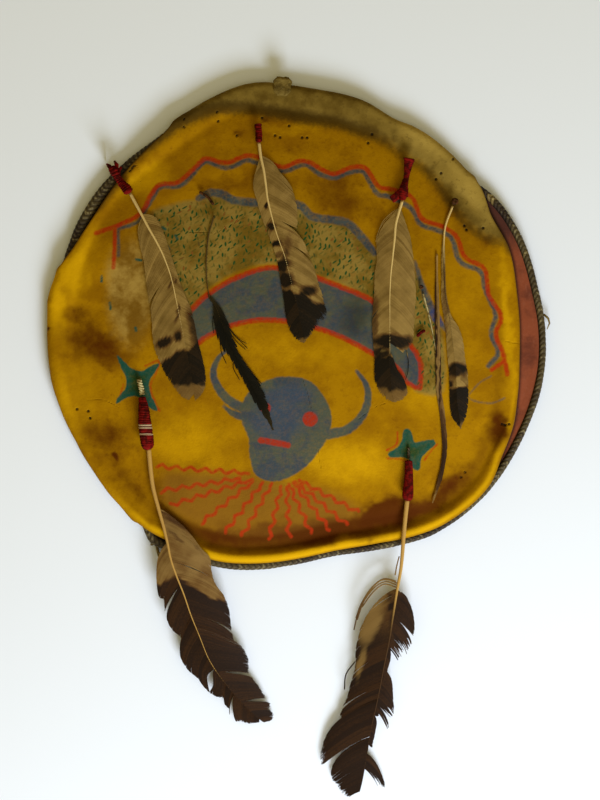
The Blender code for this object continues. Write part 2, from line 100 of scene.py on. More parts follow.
shield_at = (middle_x, middle_y, 0.02)
add_light("window", (0.66, -1.72, 1.04), shield_at, 1.0, 0.8, 66.0, (0.83, 0.91, 1.0))
add_light("overhead", (0.6, -0.5, 2.2), shield_at, 1.8, 1.8, 5.0, (0.94, 0.97, 1.0))
world = bpy.data.worlds.new("studio")
world.use_nodes = True
world.node_tree.nodes["Background"].inputs["Color"].default_value = (1.0, 0.82, 0.33, 1.0)
world.node_tree.nodes["Background"].inputs["Strength"].default_value = 0.38
bpy.context.scene.world = world
bpy.context.scene.view_settings.view_transform = "Standard"

camera_data = bpy.data.cameras.new("camera")
camera_data.sensor_fit = "VERTICAL"
camera_data.sensor_height = SENSOR
camera_data.lens = SENSOR * (CAMERA_HEIGHT - FOCUS_HEIGHT) / (PICTURE[1] * PIXEL)
camera = bpy.data.objects.new("camera", camera_data)
camera.location = (
    middle_x + (PICTURE[0] / 2 - PICTURE_MIDDLE[0]) * PIXEL,
    middle_y + (PICTURE_MIDDLE[1] - PICTURE[1] / 2) * PIXEL,
    CAMERA_HEIGHT,
)
bpy.context.scene.collection.objects.link(camera)
bpy.context.scene.camera = camera

# The rawhide disc
# One thick piece of rawhide, shrunk and dried into a shallow dish. Its face is painted dull red,
# which shows as a crescent at the right, and its back is bare. The lacing closes on its flat margin.
DISC_THICKNESS = 0.005
DISH_DEPTH = 0.020
BACK_FLAT_RADIUS = 0.036
LACING_WIDTH = 0.011
LACING_HEIGHT = 0.010
LACING_GRIP = 0.0065
RIM_FLAT = 0.014
RIM_OUTLINE = (
    (-180, 250), (-165, 250), (-150, 249), (-137, 251), (-129, 257), (-125, 266), (-121, 264),
    (-106, 255), (-99, 248), (-90, 239), (-81, 234), (-67, 241), (-58, 248), (-45, 251), (-28, 249),
    (-12, 248), (0, 244), (9, 240), (22, 238), (33, 233), (42, 224), (53, 222), (65, 222), (79, 229),
    (90, 234), (103, 243), (118, 239), (129, 238), (142, 244), (154, 248), (167, 248),
)
CRESCENT_START = (
    (-62, 239), (-54, 245), (-41, 247), (-33, 239), (-25, 234), (-17, 226), (-7, 219), (8, 217),
    (20, 221), (30, 219), (38, 226), (48, 240), (180, 260),
)
DISC_TURNS = 240
DISC_RINGS = 46
RAWHIDE_RED = srgb(132, 66, 40)
RAWHIDE_DARK_RED = srgb(84, 40, 28)
RAWHIDE_BARE = srgb(150, 122, 78)


def smooth_curve(points, x, period=None):
    """Values at x on a smooth curve through (x, value) points, which may run round in a circle."""
    knots, values = np.array(points, float).T
    x = np.asarray(x, float)
    if period:
        x = knots[0] + (x - knots[0]) % period
        knots = np.concatenate(([knots[-1] - period], knots, knots[:2] + period))
        values = np.concatenate(([values[-1]], values, values[:2]))
    else:
        knots = np.concatenate((knots[:1] - 1e-6, knots, knots[-1:] + 1e-6))
        values = np.concatenate((values[:1], values, values[-1:]))
    i = np.clip(np.searchsorted(knots, x, side="right") - 1, 1, len(knots) - 3)
    span = knots[i + 1] - knots[i]
    t = np.clip((x - knots[i]) / span, 0, 1)
    start = (values[i + 1] - values[i - 1]) / (knots[i + 1] - knots[i - 1]) * span
    end = (values[i + 2] - values[i]) / (knots[i + 2] - knots[i]) * span
    return (
        (2 * t ** 3 - 3 * t ** 2 + 1) * values[i] + (t ** 3 - 2 * t ** 2 + t) * start
        + (3 * t ** 2 - 2 * t ** 3) * values[i + 1] + (t ** 3 - t ** 2) * end
    )


def ease(low, high, value):
    """0 at low and 1 at high, with a soft step between."""
    share = np.clip((value - low) / (high - low), 0, 1)
    return share * share * (3 - 2 * share)


def wobble(x, y, size, seed):
    """Soft random unevenness from -1 to 1, with lumps of this size."""
    lattice = np.random.RandomState(seed).uniform(-1, 1, (64, 64))
    u, v = np.asarray(x) / size, np.asarray(y) / size
    i, j = np.floor(u).astype(int), np.floor(v).astype(int)
    s, t = ease(0, 1, u - i), ease(0, 1, v - j)
    corner = [lattice[(i + a) % 64, (j + b) % 64] for a, b in ((0, 0), (1, 0), (0, 1), (1, 1))]
    return (corner[0] * (1 - s) + corner[1] * s) * (1 - t) + (corner[2] * (1 - s) + corner[3] * s) * t


def rim_radius(degrees_round):
    return smooth_curve(RIM_OUTLINE, degrees_round, 360) * PIXEL


def disc_top(radius, degrees_round):
    """Height of the disc's face: dished, with a flat margin."""
    flat_end = rim_radius(degrees_round) - RIM_FLAT
    share = np.clip((radius - BACK_FLAT_RADIUS) / (flat_end - BACK_FLAT_RADIUS), 0, 1)
    return (LACING_HEIGHT + DISC_THICKNESS) / 2 + DISH_DEPTH * (1 - share ** 2)


def put(points):
    """Points about the disc's middle, moved to where the model has it."""
    return np.asarray(points, float) + (middle_x, middle_y, 0.0)


def new_piece(name, points, faces, finish, slot, nodes, tones=None):
    """A mesh that rides on the shield in the place of its nodes. tones are numbers for its finish."""
    data = bpy.data.meshes.new(name)
    data.from_pydata(put(points).tolist(), [], [tuple(map(int, face)) for face in faces])
    data.validate()
    for tone, values in (tones or {}).items():
        layer = data.attributes.new(tone, "FLOAT", "POINT")
        layer.data.foreach_set("value", np.asarray(values, np.float32))
    data.shade_smooth()
    piece = bpy.data.objects.new(name, data)
    bpy.context.scene.collection.objects.link(piece)
    data.materials.append(finish.material)
    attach(piece, "root")
    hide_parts(*nodes)
    return piece


class Field:
    """A number that varies over a surface, which plain sums and products work on."""

    def __init__(self, finish, socket):
        self.finish = finish
        self.socket = socket

    def sum_with(self, operation, first, second):
        return self.finish.node("ShaderNodeMath", {"operation": operation}, (first, second))

    def __add__(self, other):
        return self.sum_with("ADD", self, other)

    def __radd__(self, other):
        return self.sum_with("ADD", other, self)

    def __sub__(self, other):
        return self.sum_with("SUBTRACT", self, other)

    def __rsub__(self, other):
        return self.sum_with("SUBTRACT", other, self)

    def __mul__(self, other):
        return self.sum_with("MULTIPLY", self, other)

    def __rmul__(self, other):
        return self.sum_with("MULTIPLY", other, self)

    def rise(self, low, high):
        """0 below low and 1 above high, with a soft step between."""
        settings = {"interpolation_type": "SMOOTHSTEP"}
        inputs = {"Value": self, "From Min": low, "From Max": high}
        return self.finish.node("ShaderNodeMapRange", settings, inputs)


class Finish:
    """The look of one material of the shield, built up from fields."""

    def __init__(self, name, roughness, specular):
        self.material = bpy.data.materials.new(name)
        self.material.use_nodes = True
        self.tree = self.material.node_tree
        self.shader = self.tree.nodes["Principled BSDF"]
        self.shader.inputs["Roughness"].default_value = roughness
        self.shader.inputs["Specular IOR Level"].default_value = specular
        self.place = self.node("ShaderNodeTexCoord", {}, {}, "Object")

    def node(self, kind, settings, inputs, output=0):
        made = self.tree.nodes.new(kind)
        for setting, value in settings.items():
            setattr(made, setting, value)
        pairs = inputs.items() if isinstance(inputs, dict) else enumerate(inputs)
        for key, value in pairs:
            if isinstance(value, Field):
                self.tree.links.new(value.socket, made.inputs[key])
            else:
                made.inputs[key].default_value = value
        return Field(self, made.outputs[output])

    def tone(self, name):
        return self.node("ShaderNodeAttribute", {"attribute_name": name}, {}, "Fac")

    def stretched(self, x, y, z):
        return self.node("ShaderNodeMapping", {}, {"Vector": self.place, "Scale": (x, y, z)})

    def noise(self, size, detail=3.0, rough=0.55, place=None):
        """Soft grain from 0 to 1 with lumps of this size in metres."""
        inputs = {"Vector": place or self.place, "Scale": 1 / size, "Detail": detail, "Roughness": rough}
        return self.node("ShaderNodeTexNoise", {}, inputs)

    def mix(self, under, over, share):
        settings = {"data_type": "RGBA"}
        return self.node("ShaderNodeMix", settings, {0: share, 6: under, 7: over}, 2)

    def colour(self, value):
        self.tree.links.new(value.socket, self.shader.inputs["Base Color"])

    def relief(self, height, depth):
        """Raises the surface by height, from 0 to 1, times depth in metres."""
        bump = self.node("ShaderNodeBump", {}, {"Strength": 1.0, "Distance": depth, "Height": height})
        self.tree.links.new(bump.socket, self.shader.inputs["Normal"])


def ring_faces(turns, rows, closed_rows=False):
    """Quads of a grid that runs round: row by row, one turn after another."""
    here = np.arange(turns)[:, None] * rows + np.arange(rows if closed_rows else rows - 1)[None, :]
    across = (here // rows) * rows + (here % rows + 1) % rows
    step = turns * rows
    return np.stack((here, across, (across + rows) % step, (here + rows) % step), -1).reshape(-1, 4)


turn = np.arange(DISC_TURNS) * 360 / DISC_TURNS
edge = rim_radius(turn) - LACING_WIDTH + LACING_GRIP
share = np.concatenate((np.linspace(0.04, 0.80, 12), np.linspace(0.82, 1.0, DISC_RINGS - 12)))
radius = edge[:, None] * share[None, :]
top = disc_top(radius, turn[:, None] + 0 * radius)
plan_x = radius * np.cos(np.radians(turn))[:, None]
plan_y = radius * np.sin(np.radians(turn))[:, None]
ripple = 0.0001 * wobble(plan_x, plan_y, 0.03, 3)
above = np.stack((plan_x, plan_y, top + ripple), -1)
below = np.stack((plan_x, plan_y, top - DISC_THICKNESS + ripple), -1)[:, ::-1]
disc_points = np.concatenate((above, below), 1)
disc_faces = list(ring_faces(DISC_TURNS, 2 * DISC_RINGS))
disc_faces.append([k * 2 * DISC_RINGS for k in range(DISC_TURNS)])
disc_faces.append([k * 2 * DISC_RINGS + 2 * DISC_RINGS - 1 for k in reversed(range(DISC_TURNS))])
painted_side = np.concatenate((np.ones_like(radius), np.zeros_like(radius)), 1)
turned = (turn + 180) % 360 - 180
# The crescent is made darker purple-brown towards its top.
darker_to_top = (ease(12, 30, turned) * ease(95, 60, turned))[:, None] + 0 * radius
open_from = smooth_curve(CRESCENT_START, turn, 360) * PIXEL
# Painted shade: the red face is darkened in a narrow band just outside the cover's edge.
cover_edge_shade = 1 - ease(0, 5.0 * PIXEL, radius - open_from[:, None])
both_sides = [np.concatenate((values, 0 * radius), 1).reshape(-1) for values in (darker_to_top, cover_edge_shade)]

rawhide = Finish("painted_rawhide", roughness=0.62, specular=0.12)
red_wear = rawhide.noise(0.030, 4.0, 0.6).rise(0.42, 0.66)
red_streak = rawhide.noise(0.0035, 3.0, 0.6, rawhide.stretched(1.0, 0.3, 1.0))
red = rawhide.mix(RAWHIDE_RED, RAWHIDE_DARK_RED, red_wear * 0.75)
red = rawhide.mix(red, srgb(140, 84, 62), red_streak.rise(0.55, 0.75) * 0.45)
top_darkening = (rawhide.tone("darker_to_top") + (red_streak - 0.5) * 0.4).rise(0.1, 0.9)
red = rawhide.mix(red, srgb(58, 32, 28), top_darkening * 0.85)
# Painted shade along the cover's edge on the red face.
red = rawhide.mix(red, srgb(36, 18, 10), rawhide.tone("cover_edge_shade").rise(0.0, 1.0) * 0.8)
bare = rawhide.mix(RAWHIDE_BARE, srgb(104, 78, 44), rawhide.noise(0.045, 5.0, 0.6).rise(0.4, 0.7))
bare = rawhide.mix(bare, srgb(186, 164, 120), rawhide.noise(0.006, 4.0, 0.65).rise(0.58, 0.8) * 0.6)
rawhide.colour(rawhide.mix(bare, red, rawhide.tone("painted")))
rawhide.relief(rawhide.noise(0.0022, 4.0, 0.6) * 0.5 + rawhide.noise(0.012, 2.0) * 0.5, 0.0006)
new_piece(
    "rawhide_disc_finished", disc_points.reshape(-1, 3), disc_faces, rawhide, "painted_rawhide",
    ["rawhide_disc"], {"painted": painted_side.reshape(-1), "darker_to_top": both_sides[0], "cover_edge_shade": both_sides[1]},
)

# The rim lacing
# Two dark strips of hide plaited over the disc's edge and back in a chevron, pulled tight. Painted shade
# darkens the grooves between the strands and the inner side, and the crests are pale, partly from wear and
# partly as painted highlight. One short end has come loose at the right.
STITCHES = 292
STITCH_POINTS = 8
STRAND_SLOPE = 2.6
STRAND_DEPTH = 0.0010
LACING_PALENESS = (
    (-180, 0.05), (-120, 0.05), (-70, 0.10), (-30, 0.12), (0, 0.14), (30, 0.42), (45, 0.42), (60, 0.1),
    (130, 0.0), (160, 0.2),
)
LACING_BREADTH = (
    (-180, 0.011), (-140, 0.0105), (-110, 0.0085), (-60, 0.0074), (-20, 0.0070), (20, 0.0072),
    (50, 0.0085), (90, 0.011),
)
LOOSE_END = ((544.5, 314), (549, 318), (550.5, 323), (548, 329))
lacing_turns = STITCHES * STITCH_POINTS
turn = np.arange(lacing_turns) * 360 / lacing_turns
rim = rim_radius(turn)
breadth = smooth_curve(LACING_BREADTH, turn, 360)
arc = np.linspace(-0.94 * pi, 0.94 * pi, 26)
low = (LACING_HEIGHT - DISC_THICKNESS) / 2 - 0.0002
high = (LACING_HEIGHT + DISC_THICKNESS) / 2 + 0.0002
along_rim = turn[:, None] / 360 * STITCHES + 0.35 * wobble(turn / 9.0, 0 * turn, 1.0, 6)[:, None]
around = arc[None, :] / pi
chevron = np.abs(around - 0.42) * STRAND_SLOPE
strand = along_rim + chevron
arch = np.sqrt(np.clip(1 - (2 * (strand % 1) - 1) ** 2, 0.02, 1))
strand_number = np.floor(strand).astype(int) % STITCHES
strand_luck = np.random.RandomState(5).rand(STITCHES)[strand_number]
strand_luck = strand_luck * (0.35 + smooth_curve(LACING_PALENESS, turn, 360)[:, None])
inner_side = ease(0.55, 0.85, around)
plump = 1 - STRAND_DEPTH * (1 - arch) * (1 - 0.7 * inner_side) / (LACING_HEIGHT / 2)
half_wide = breadth[:, None] / 2 * plump * (1 + 0.05 * wobble(along_rim * 0.4, 0 * along_rim, 1.0, 7))
half_high = LACING_HEIGHT / 2 * plump
squared = np.sign(np.cos(arc)) * np.abs(np.cos(arc)) ** 0.8
out = (rim - breadth / 2)[:, None] + half_wide * squared[None, :]
up = LACING_HEIGHT / 2 + half_high * (np.sign(np.sin(arc)) * np.abs(np.sin(arc)) ** 0.75)[None, :]
up = np.clip(up, 0.0, None)
grip_end = rim - LACING_WIDTH + LACING_GRIP
slot_out = np.stack((rim - breadth, grip_end, grip_end, rim - breadth), 1)
slot_up = np.array((high, high, low, low))[None, :] + 0 * slot_out
out = np.concatenate((out, slot_out), 1)
up = np.concatenate((up, slot_up), 1)
rows = out.shape[1]
lacing_points = np.stack((
    out * np.cos(np.radians(turn))[:, None], out * np.sin(np.radians(turn))[:, None], up,
), -1).reshape(-1, 3)
lacing_faces = ring_faces(lacing_turns, rows, closed_rows=True)[:, ::-1]
pad = np.zeros((lacing_turns, 4))
# The crest tone: painted shade in the grooves between strands and along the inner side, and the crests'
# paleness.
lacing_tones = {
    "luck": np.concatenate((strand_luck, pad), 1).reshape(-1),
    "crown": np.concatenate((arch * (1 - 0.45 * inner_side), pad), 1).reshape(-1),
}


def tube(points, radii, sides, dents=None, flat=1.0):
    """A closed round piece along 3-D points. dents scales each corner's radius, and flat its height."""
    points = np.asarray(points, float)
    radii = np.broadcast_to(np.asarray(radii, float), (len(points),))
    forward = np.gradient(points, axis=0)
    forward /= np.linalg.norm(forward, axis=1)[:, None]
    side = np.cross(forward, (0.0, 0.0, 1.0))
    side /= np.linalg.norm(side, axis=1)[:, None] + 1e-12
    rise = np.cross(side, forward)
    turns = np.arange(sides) * 2 * pi / sides
    reach = radii[:, None] * (np.ones((len(points), sides)) if dents is None else dents)
    around_it = (
        side[:, None] * np.cos(turns)[None, :, None] + rise[:, None] * np.sin(turns)[None, :, None] * flat
    ) * reach[..., None]
    corners = (points[:, None] + around_it).reshape(-1, 3)
    here = np.arange(len(points) - 1)[:, None] * sides + np.arange(sides)[None, :]
    after = (here // sides) * sides + (here % sides + 1) % sides
    quads = np.stack((here, here + sides, after + sides, after), -1).reshape(-1, 4)
    caps = [list(range(sides)), [(len(points) - 1) * sides + k for k in reversed(range(sides))]]
    return corners, [list(face) for face in quads] + caps


def joined(shapes):
    """Several (points, faces) made into one."""
    points, faces, start = [], [], 0
    for some_points, some_faces in shapes:
        points.append(some_points)
        faces += [[corner + start for corner in face] for face in some_faces]
        start += len(some_points)
    return np.concatenate(points), faces


def at(place, height=0.0):
    """Where a place in the picture is, in metres about the disc's middle."""
    x, y = place[0] - PICTURE_MIDDLE[0], PICTURE_MIDDLE[1] - place[1]
    return np.array((x * PIXEL, y * PIXEL, height))


loose_line = [at(place, 0.006 - 0.0005 * k) for k, place in enumerate(LOOSE_END)]
loose = tube(loose_line, (0.0010, 0.0011, 0.0008, 0.0004), 6)
lacing_mesh = joined([(lacing_points, lacing_faces), loose])
for tone, value in (("luck", 0.9), ("crown", 0.8)):
    lacing_tones[tone] = np.concatenate((lacing_tones[tone], np.full(len(loose[0]), value)))
dark_lacing = Finish("dark_lacing", roughness=0.55, specular=0.15)
darker_part = dark_lacing.noise(0.05, 2.0).rise(0.35, 0.65)
hide_brown = dark_lacing.mix(srgb(74, 62, 38), srgb(42, 30, 24), darker_part)
luck, crown = dark_lacing.tone("luck"), dark_lacing.tone("crown")
hide_brown = dark_lacing.mix(hide_brown, srgb(120, 98, 50), luck.rise(0.30, 0.9) * 0.85)
# Pale on the crests of the strands: partly wear and partly painted highlight.
worn = crown.rise(0.72, 1.0) * dark_lacing.noise(0.003, 3.0).rise(0.45, 0.62)
hide_brown = dark_lacing.mix(hide_brown, srgb(172, 158, 112), worn * luck)
# Painted shade: near black in the grooves between the strands and darker along the inner side.
dark_lacing.colour(dark_lacing.mix(srgb(14, 10, 7), hide_brown, crown.rise(0.10, 0.75)))
dark_lacing.relief(dark_lacing.noise(0.0012, 3.0), 0.0004)
new_piece("rim_lacing_finished", *lacing_mesh, dark_lacing, "dark_lacing", ["rim_lacing"], lacing_tones)

# The hide cover
# One thin tanned hide, wetted and stretched over the face while it was soft, then painted. At the top
# and on the left it goes over the rim and down; at the right and below it stops short, rolled under.
COVER_THICKNESS = 0.0016
COVER_THINNEST = 0.0009
HEM_DROP = 0.0060
HEM_CORNER = 0.0040
LAP_REACH = 0.0042
COVER_RISE_LENGTH = 0.010
GAP = 0.0003
LAY_GAP = 0.0006
COVER_OUTLINE = (
    (-180, 255), (-161, 256), (-148, 255), (-137, 256), (-128, 257), (-121, 254), (-110, 251),
    (-100, 242), (-90, 233), (-81, 228), (-71, 231), (-62, 239), (-54, 245), (-41, 247), (-33, 239),
    (-25, 234), (-17, 226), (-7, 219), (8, 217), (20, 221), (30, 219), (38, 226), (48, 228), (60, 229),
    (66, 227), (75, 234), (88, 238), (101, 248), (113, 245), (121, 241), (127, 236), (140, 234),
    (152, 235), (161, 241), (167, 250), (174, 256),
)
COVER_CELLS = 290

# How the cover bulges: a roll along its edge by angle, a hollow inside the roll, and single swellings,
# all in millimetres. A swelling is its place, its two half sizes in pixels, its turn and its height.
EDGE_ROLL = (
    (-180, 1.0), (-150, 1.2), (-128, 2.0), (-110, 3.2), (-85, 3.4), (-65, 3.0), (-50, 2.2), (-30, 1.6),
    (-15, 1.1), (0, 0.8), (30, 0.5), (60, 0.4), (100, 0.3), (150, 0.6),
)
EDGE_HOLLOW = (
    (-180, 0.2), (-140, 0.3), (-115, 1.3), (-90, 1.5), (-65, 1.3), (-45, 0.7), (-20, 0.5), (20, 0.2),
    (150, 0.2),
)
SWELLINGS = (
    (105, 255, 45, 28, 55, 2.5), (72, 312, 26, 10, -5, -1.4), (95, 430, 28, 14, 30, -1.8),
    (65, 380, 18, 30, 0, 1.2), (478, 445, 22, 14, 40, -1.6), (500, 440, 12, 20, -20, 2.2),
    (150, 500, 30, 12, 40, 1.2), (430, 505, 30, 12, -35, 1.2),
)

# Soft patches where the yellow goes brown and where it is brighter: the patch's place, its two half sizes
# in pixels, its turn and its strength. The brown ones are partly grease and dirt and partly painted shade,
# such as shadows beside the feathers and shade in folds. The bright ones are partly clean hide and partly
# painted highlight on the rolled edges and bulges.
GRIME_AND_SHADE = (
    (96, 344, 46, 22, -22, 0.78), (80, 315, 22, 14, -15, 0.62), (486, 240, 6, 16, 20, 0.5),
    (50, 326, 3, 3, 0, 1.0), (106, 434, 34, 22, -12, 0.62), (100, 426, 26, 6, -4, 0.3),
    (128, 478, 34, 15, -45, 0.45), (300, 531, 102, 14.5, 2.5, 0.92), (112, 455, 22, 18, 0, 0.4),
    (392, 511, 60, 15, 14, 1.0), (226, 538, 40, 8, -10, 0.7), (448, 490, 34, 12, 36, 0.8),
    (497, 430, 14, 20, 18, 0.9), (466, 470, 24, 12, 40, 0.45), (340, 198, 58, 26, -16, 0.52),
    (290, 150, 90, 10, 0, 0.3), (286, 184, 90, 22, 4, 0.3), (226, 186, 44, 12, 0, 0.42),
    (425, 200, 26, 30, 0, 0.15), (354, 314, 16, 28, 0, 0.7), (136, 190, 20, 14, 40, 0.15),
    (116, 454, 6, 5, 0, 0.9), (237, 136, 6, 4, 0, 0.6), (262, 118, 7, 5, 0, 0.6),
    (452, 208, 14, 12, 0, 0.4), (488, 218, 12, 10, 30, 0.35), (436, 340, 10, 60, 0, 0.25),
    (158, 500, 10, 24, 10, 0.5),
)
CLEAN_AND_HIGHLIGHT = (
    (76, 268, 40, 20, 62, 0.8), (290, 352, 110, 18, 0, 0.4), (190, 440, 52, 34, 0, 0.55),
    (350, 462, 64, 26, -8, 0.7), (424, 396, 34, 24, 0, 0.45), (508, 320, 8, 90, 3, 0.7),
    (470, 300, 24, 40, 0, 0.35), (82, 400, 16, 60, 8, 0.35), (172, 222, 26, 16, 30, 0.4),
    (146, 180, 30, 18, 36, 0.7), (300, 128, 56, 8, 3, 0.45), (54, 285, 12, 70, 4, 0.8),
    (66, 400, 14, 60, 16, 0.5),
)


def run_length(places):
    """How far along the line from its start each place is."""
    return np.concatenate(([0], np.cumsum(np.linalg.norm(np.diff(places, axis=0), axis=1))))


def cover_radius(degrees_round):
    return smooth_curve(COVER_OUTLINE, degrees_round, 360) * PIXEL


def resting_height(radius, degrees_round):
    """Height of the cover's inner face: on the disc, rising near the rim, then on the lacing."""
    rise_to = rim_radius(degrees_round) - LACING_WIDTH - COVER_THICKNESS
    on_disc = disc_top(radius, degrees_round) + GAP
    on_lacing = np.maximum(LACING_HEIGHT + LAY_GAP, on_disc)
    return on_disc + (on_lacing - on_disc) * ease(rise_to - COVER_RISE_LENGTH, rise_to, radius)


def oval(x, y, place_x, place_y, wide, high, turned):
    """0 in the middle of a turned oval and 1 on its edge, for places in pixels."""
    across, along = x - place_x, place_y - y
    c, s = cos(radians(turned)), sin(radians(turned))
    return np.hypot((across * c + along * s) / wide, (along * c - across * s) / high)


def in_picture(x, y):
    return PICTURE_MIDDLE[0] + x / PIXEL, PICTURE_MIDDLE[1] - y / PIXEL


def cover_swell(x, y):
    """How far the cover stands above an even sheet, at places in metres about the middle."""
    picture_x, picture_y = in_picture(x, y)
    way_round = np.degrees(np.arctan2(y, x))
    inward = (cover_radius(way_round) - np.hypot(x, y)) / PIXEL
    swell = smooth_curve(EDGE_ROLL, way_round, 360) * np.exp(-((inward - 6.5) / 5.5) ** 2)
    swell = swell - smooth_curve(EDGE_HOLLOW, way_round, 360) * np.exp(-((inward - 22) / 9) ** 2)
    for *swelling, lift in SWELLINGS:
        swell = swell + lift * np.exp(-1.4 * oval(picture_x, picture_y, *swelling) ** 2)
    loose_near_edge = 0.35 + 0.4 * ease(120, 10, inward)
    for amount, lump, seed in ((loose_near_edge, 46.0, 11), (0.22, 19.0, 12), (0.10, 7.0, 13)):
        swell = swell + amount * wobble(picture_x, picture_y, lump, seed)
    return swell * 0.001 * ease(-4, 3, inward)


def face_height(x, y):
    """Height of what lies open to the top at a place: the cover, the bound rim or the floor."""
    radius, way_round = np.hypot(x, y), np.degrees(np.arctan2(y, x))
    on_cover = resting_height(radius, way_round) + COVER_THICKNESS + np.maximum(cover_swell(x, y), 0)
    outside = radius > np.maximum(rim_radius(way_round), cover_radius(way_round))
    return np.where(outside, 0.0, on_cover)


PROFILE_TURNS = 720
PROFILE_SAMPLES = 140
profile_turns = np.arange(PROFILE_TURNS) * 360 / PROFILE_TURNS
over = ease(0.0, LAP_REACH, cover_radius(profile_turns) - rim_radius(profile_turns))
wall = cover_radius(profile_turns) - COVER_THICKNESS * over
wall = np.where(over > 0, np.maximum(wall, rim_radius(profile_turns) + GAP), wall)
bend = wall - HEM_CORNER * over
path_out = bend[:, None] * np.linspace(0, 1, 91)[None, :]
path_up = resting_height(path_out, profile_turns[:, None])
corner_turn = radians(90) * over[:, None] * np.arange(1, 8)[None, :] / 7
corner_out = bend[:, None] + HEM_CORNER * np.sin(corner_turn)
corner_up = path_up[:, -1:] - HEM_CORNER * (1 - np.cos(corner_turn))
drop = (HEM_DROP - HEM_CORNER) * over[:, None]
path_out = np.concatenate((path_out, corner_out, corner_out[:, -1:]), 1)
path_up = np.concatenate((path_up, corner_up, corner_up[:, -1:] - drop), 1)
even = np.linspace(0, 1, PROFILE_SAMPLES)
profile = np.zeros((PROFILE_TURNS, PROFILE_SAMPLES, 4))
for k in range(PROFILE_TURNS):
    length = run_length(np.stack((path_out[k], path_up[k]), -1))
    profile[k, :, 0] = np.interp(even * length[-1], length, path_out[k])
    profile[k, :, 1] = np.interp(even * length[-1], length, path_up[k])
run = np.gradient(profile[..., 0], axis=1)
rise = np.gradient(profile[..., 1], axis=1)
profile[..., 2] = -rise / np.hypot(run, rise)
profile[..., 3] = run / np.hypot(run, rise)


def profile_at(shares, way_round):
    """Outward distance, height and facing of the cover's inner face at shares of the way to its edge."""
    a, b = way_round % 360 * PROFILE_TURNS / 360, shares * (PROFILE_SAMPLES - 1)
    i, j = np.floor(a).astype(int), np.minimum(np.floor(b).astype(int), PROFILE_SAMPLES - 2)
    s, t = (a - i)[:, None], (b - j)[:, None]
    i, after = i % PROFILE_TURNS, (i + 1) % PROFILE_TURNS
    near = profile[i, j] * (1 - s) + profile[after, j] * s
    far = profile[i, j + 1] * (1 - s) + profile[after, j + 1] * s
    return (near * (1 - t) + far * t).T


side = np.linspace(-1, 1, COVER_CELLS + 1)
u, v = [grid.reshape(-1) for grid in np.meshgrid(side, side, indexing="ij")]
wide_part = np.abs(u) > np.abs(v)
with np.errstate(divide="ignore", invalid="ignore"):
    quarter = np.where(wide_part, v / u, u / v)
quarter = np.nan_to_num(quarter)
way_round = np.where(wide_part, 45 * quarter + 180 * (u < 0), 90 - 45 * quarter + 180 * (v < 0))
share = np.maximum(np.abs(u), np.abs(v))
out, up, face_out, face_up = profile_at(share, way_round)
c, s = np.cos(np.radians(way_round)), np.sin(np.radians(way_round))
thick = np.maximum(COVER_THICKNESS + cover_swell(out * c, out * s), COVER_THINNEST)
over_out = out + face_out * thick
over_points = np.stack((over_out * c, over_out * s, up + face_up * thick), -1)
under_points = np.stack((out * c, out * s, up), -1)

size = COVER_CELLS + 1
here = (np.arange(COVER_CELLS)[:, None] * size + np.arange(COVER_CELLS)[None, :]).reshape(-1)
cover_faces = np.stack((here, here + size, here + size + 1, here + 1), -1).tolist()
last = COVER_CELLS
border = [(k, 0) for k in range(last)] + [(last, k) for k in range(last)]
border += [(last - k, last) for k in range(last)] + [(0, last - k) for k in range(last)]
edge_lines = [0, 1, 2, 3, 5, 7, 9, 11, 13, 15, 17, 20]
lines = edge_lines + list(range(27, last - 24, 8)) + [last - k for k in reversed(edge_lines)]
under_spots = sorted(set(border) | {(i, j) for i in lines for j in lines})
under_number = {spot: size * size + k for k, spot in enumerate(under_spots)}


def under_edge(start, end):
    """The corners from start up to end, with all the small ones where the edge is the cover's own."""
    (ia, ja), (ib, jb) = start, end
    on_border = (ia == ib and ia in (0, last)) or (ja == jb and ja in (0, last))
    count = max(abs(ib - ia), abs(jb - ja)) if on_border else 1
    return [under_number[ia + (ib - ia) * k // count, ja + (jb - ja) * k // count] for k in range(count)]


for ia, ib in zip(lines, lines[1:]):
    for ja, jb in zip(lines, lines[1:]):
        loop = under_edge((ia, ja), (ia, jb)) + under_edge((ia, jb), (ib, jb))
        loop += under_edge((ib, jb), (ib, ja)) + under_edge((ib, ja), (ia, ja))
        cover_faces.append(loop)
for spot, after in zip(border, border[1:] + border[:1]):
    over_here, over_after = spot[0] * size + spot[1], after[0] * size + after[1]
    cover_faces.append([over_here, under_number[spot], under_number[after], over_after])
under_rows = [i * size + j for i, j in under_spots]
cover_points = np.concatenate((over_points, under_points[under_rows]))

# The painting, line by line, in picture places. Each mark is kept as how far inside it a place is.
spots = np.stack(in_picture(*over_points.T[:2]), -1)
FAR = 30.0
STROKE = 2.3
LINE_MARGIN = 12


def drawn(points, closed=False, spacing=3.0):
    """Close points along a smooth line through these places."""
    places = np.array(points, float)
    if closed:
        places = np.concatenate((places, places[:1]))
    length = run_length(places[:, :2])
    goals = np.linspace(0, length[-1], max(int(length[-1] / spacing), 2))
    period = length[-1] if closed else None
    rows = places[:-1] if closed else places
    length = length[:len(rows)]
    return np.stack([smooth_curve(list(zip(length, column)), goals, period) for column in rows.T], -1)


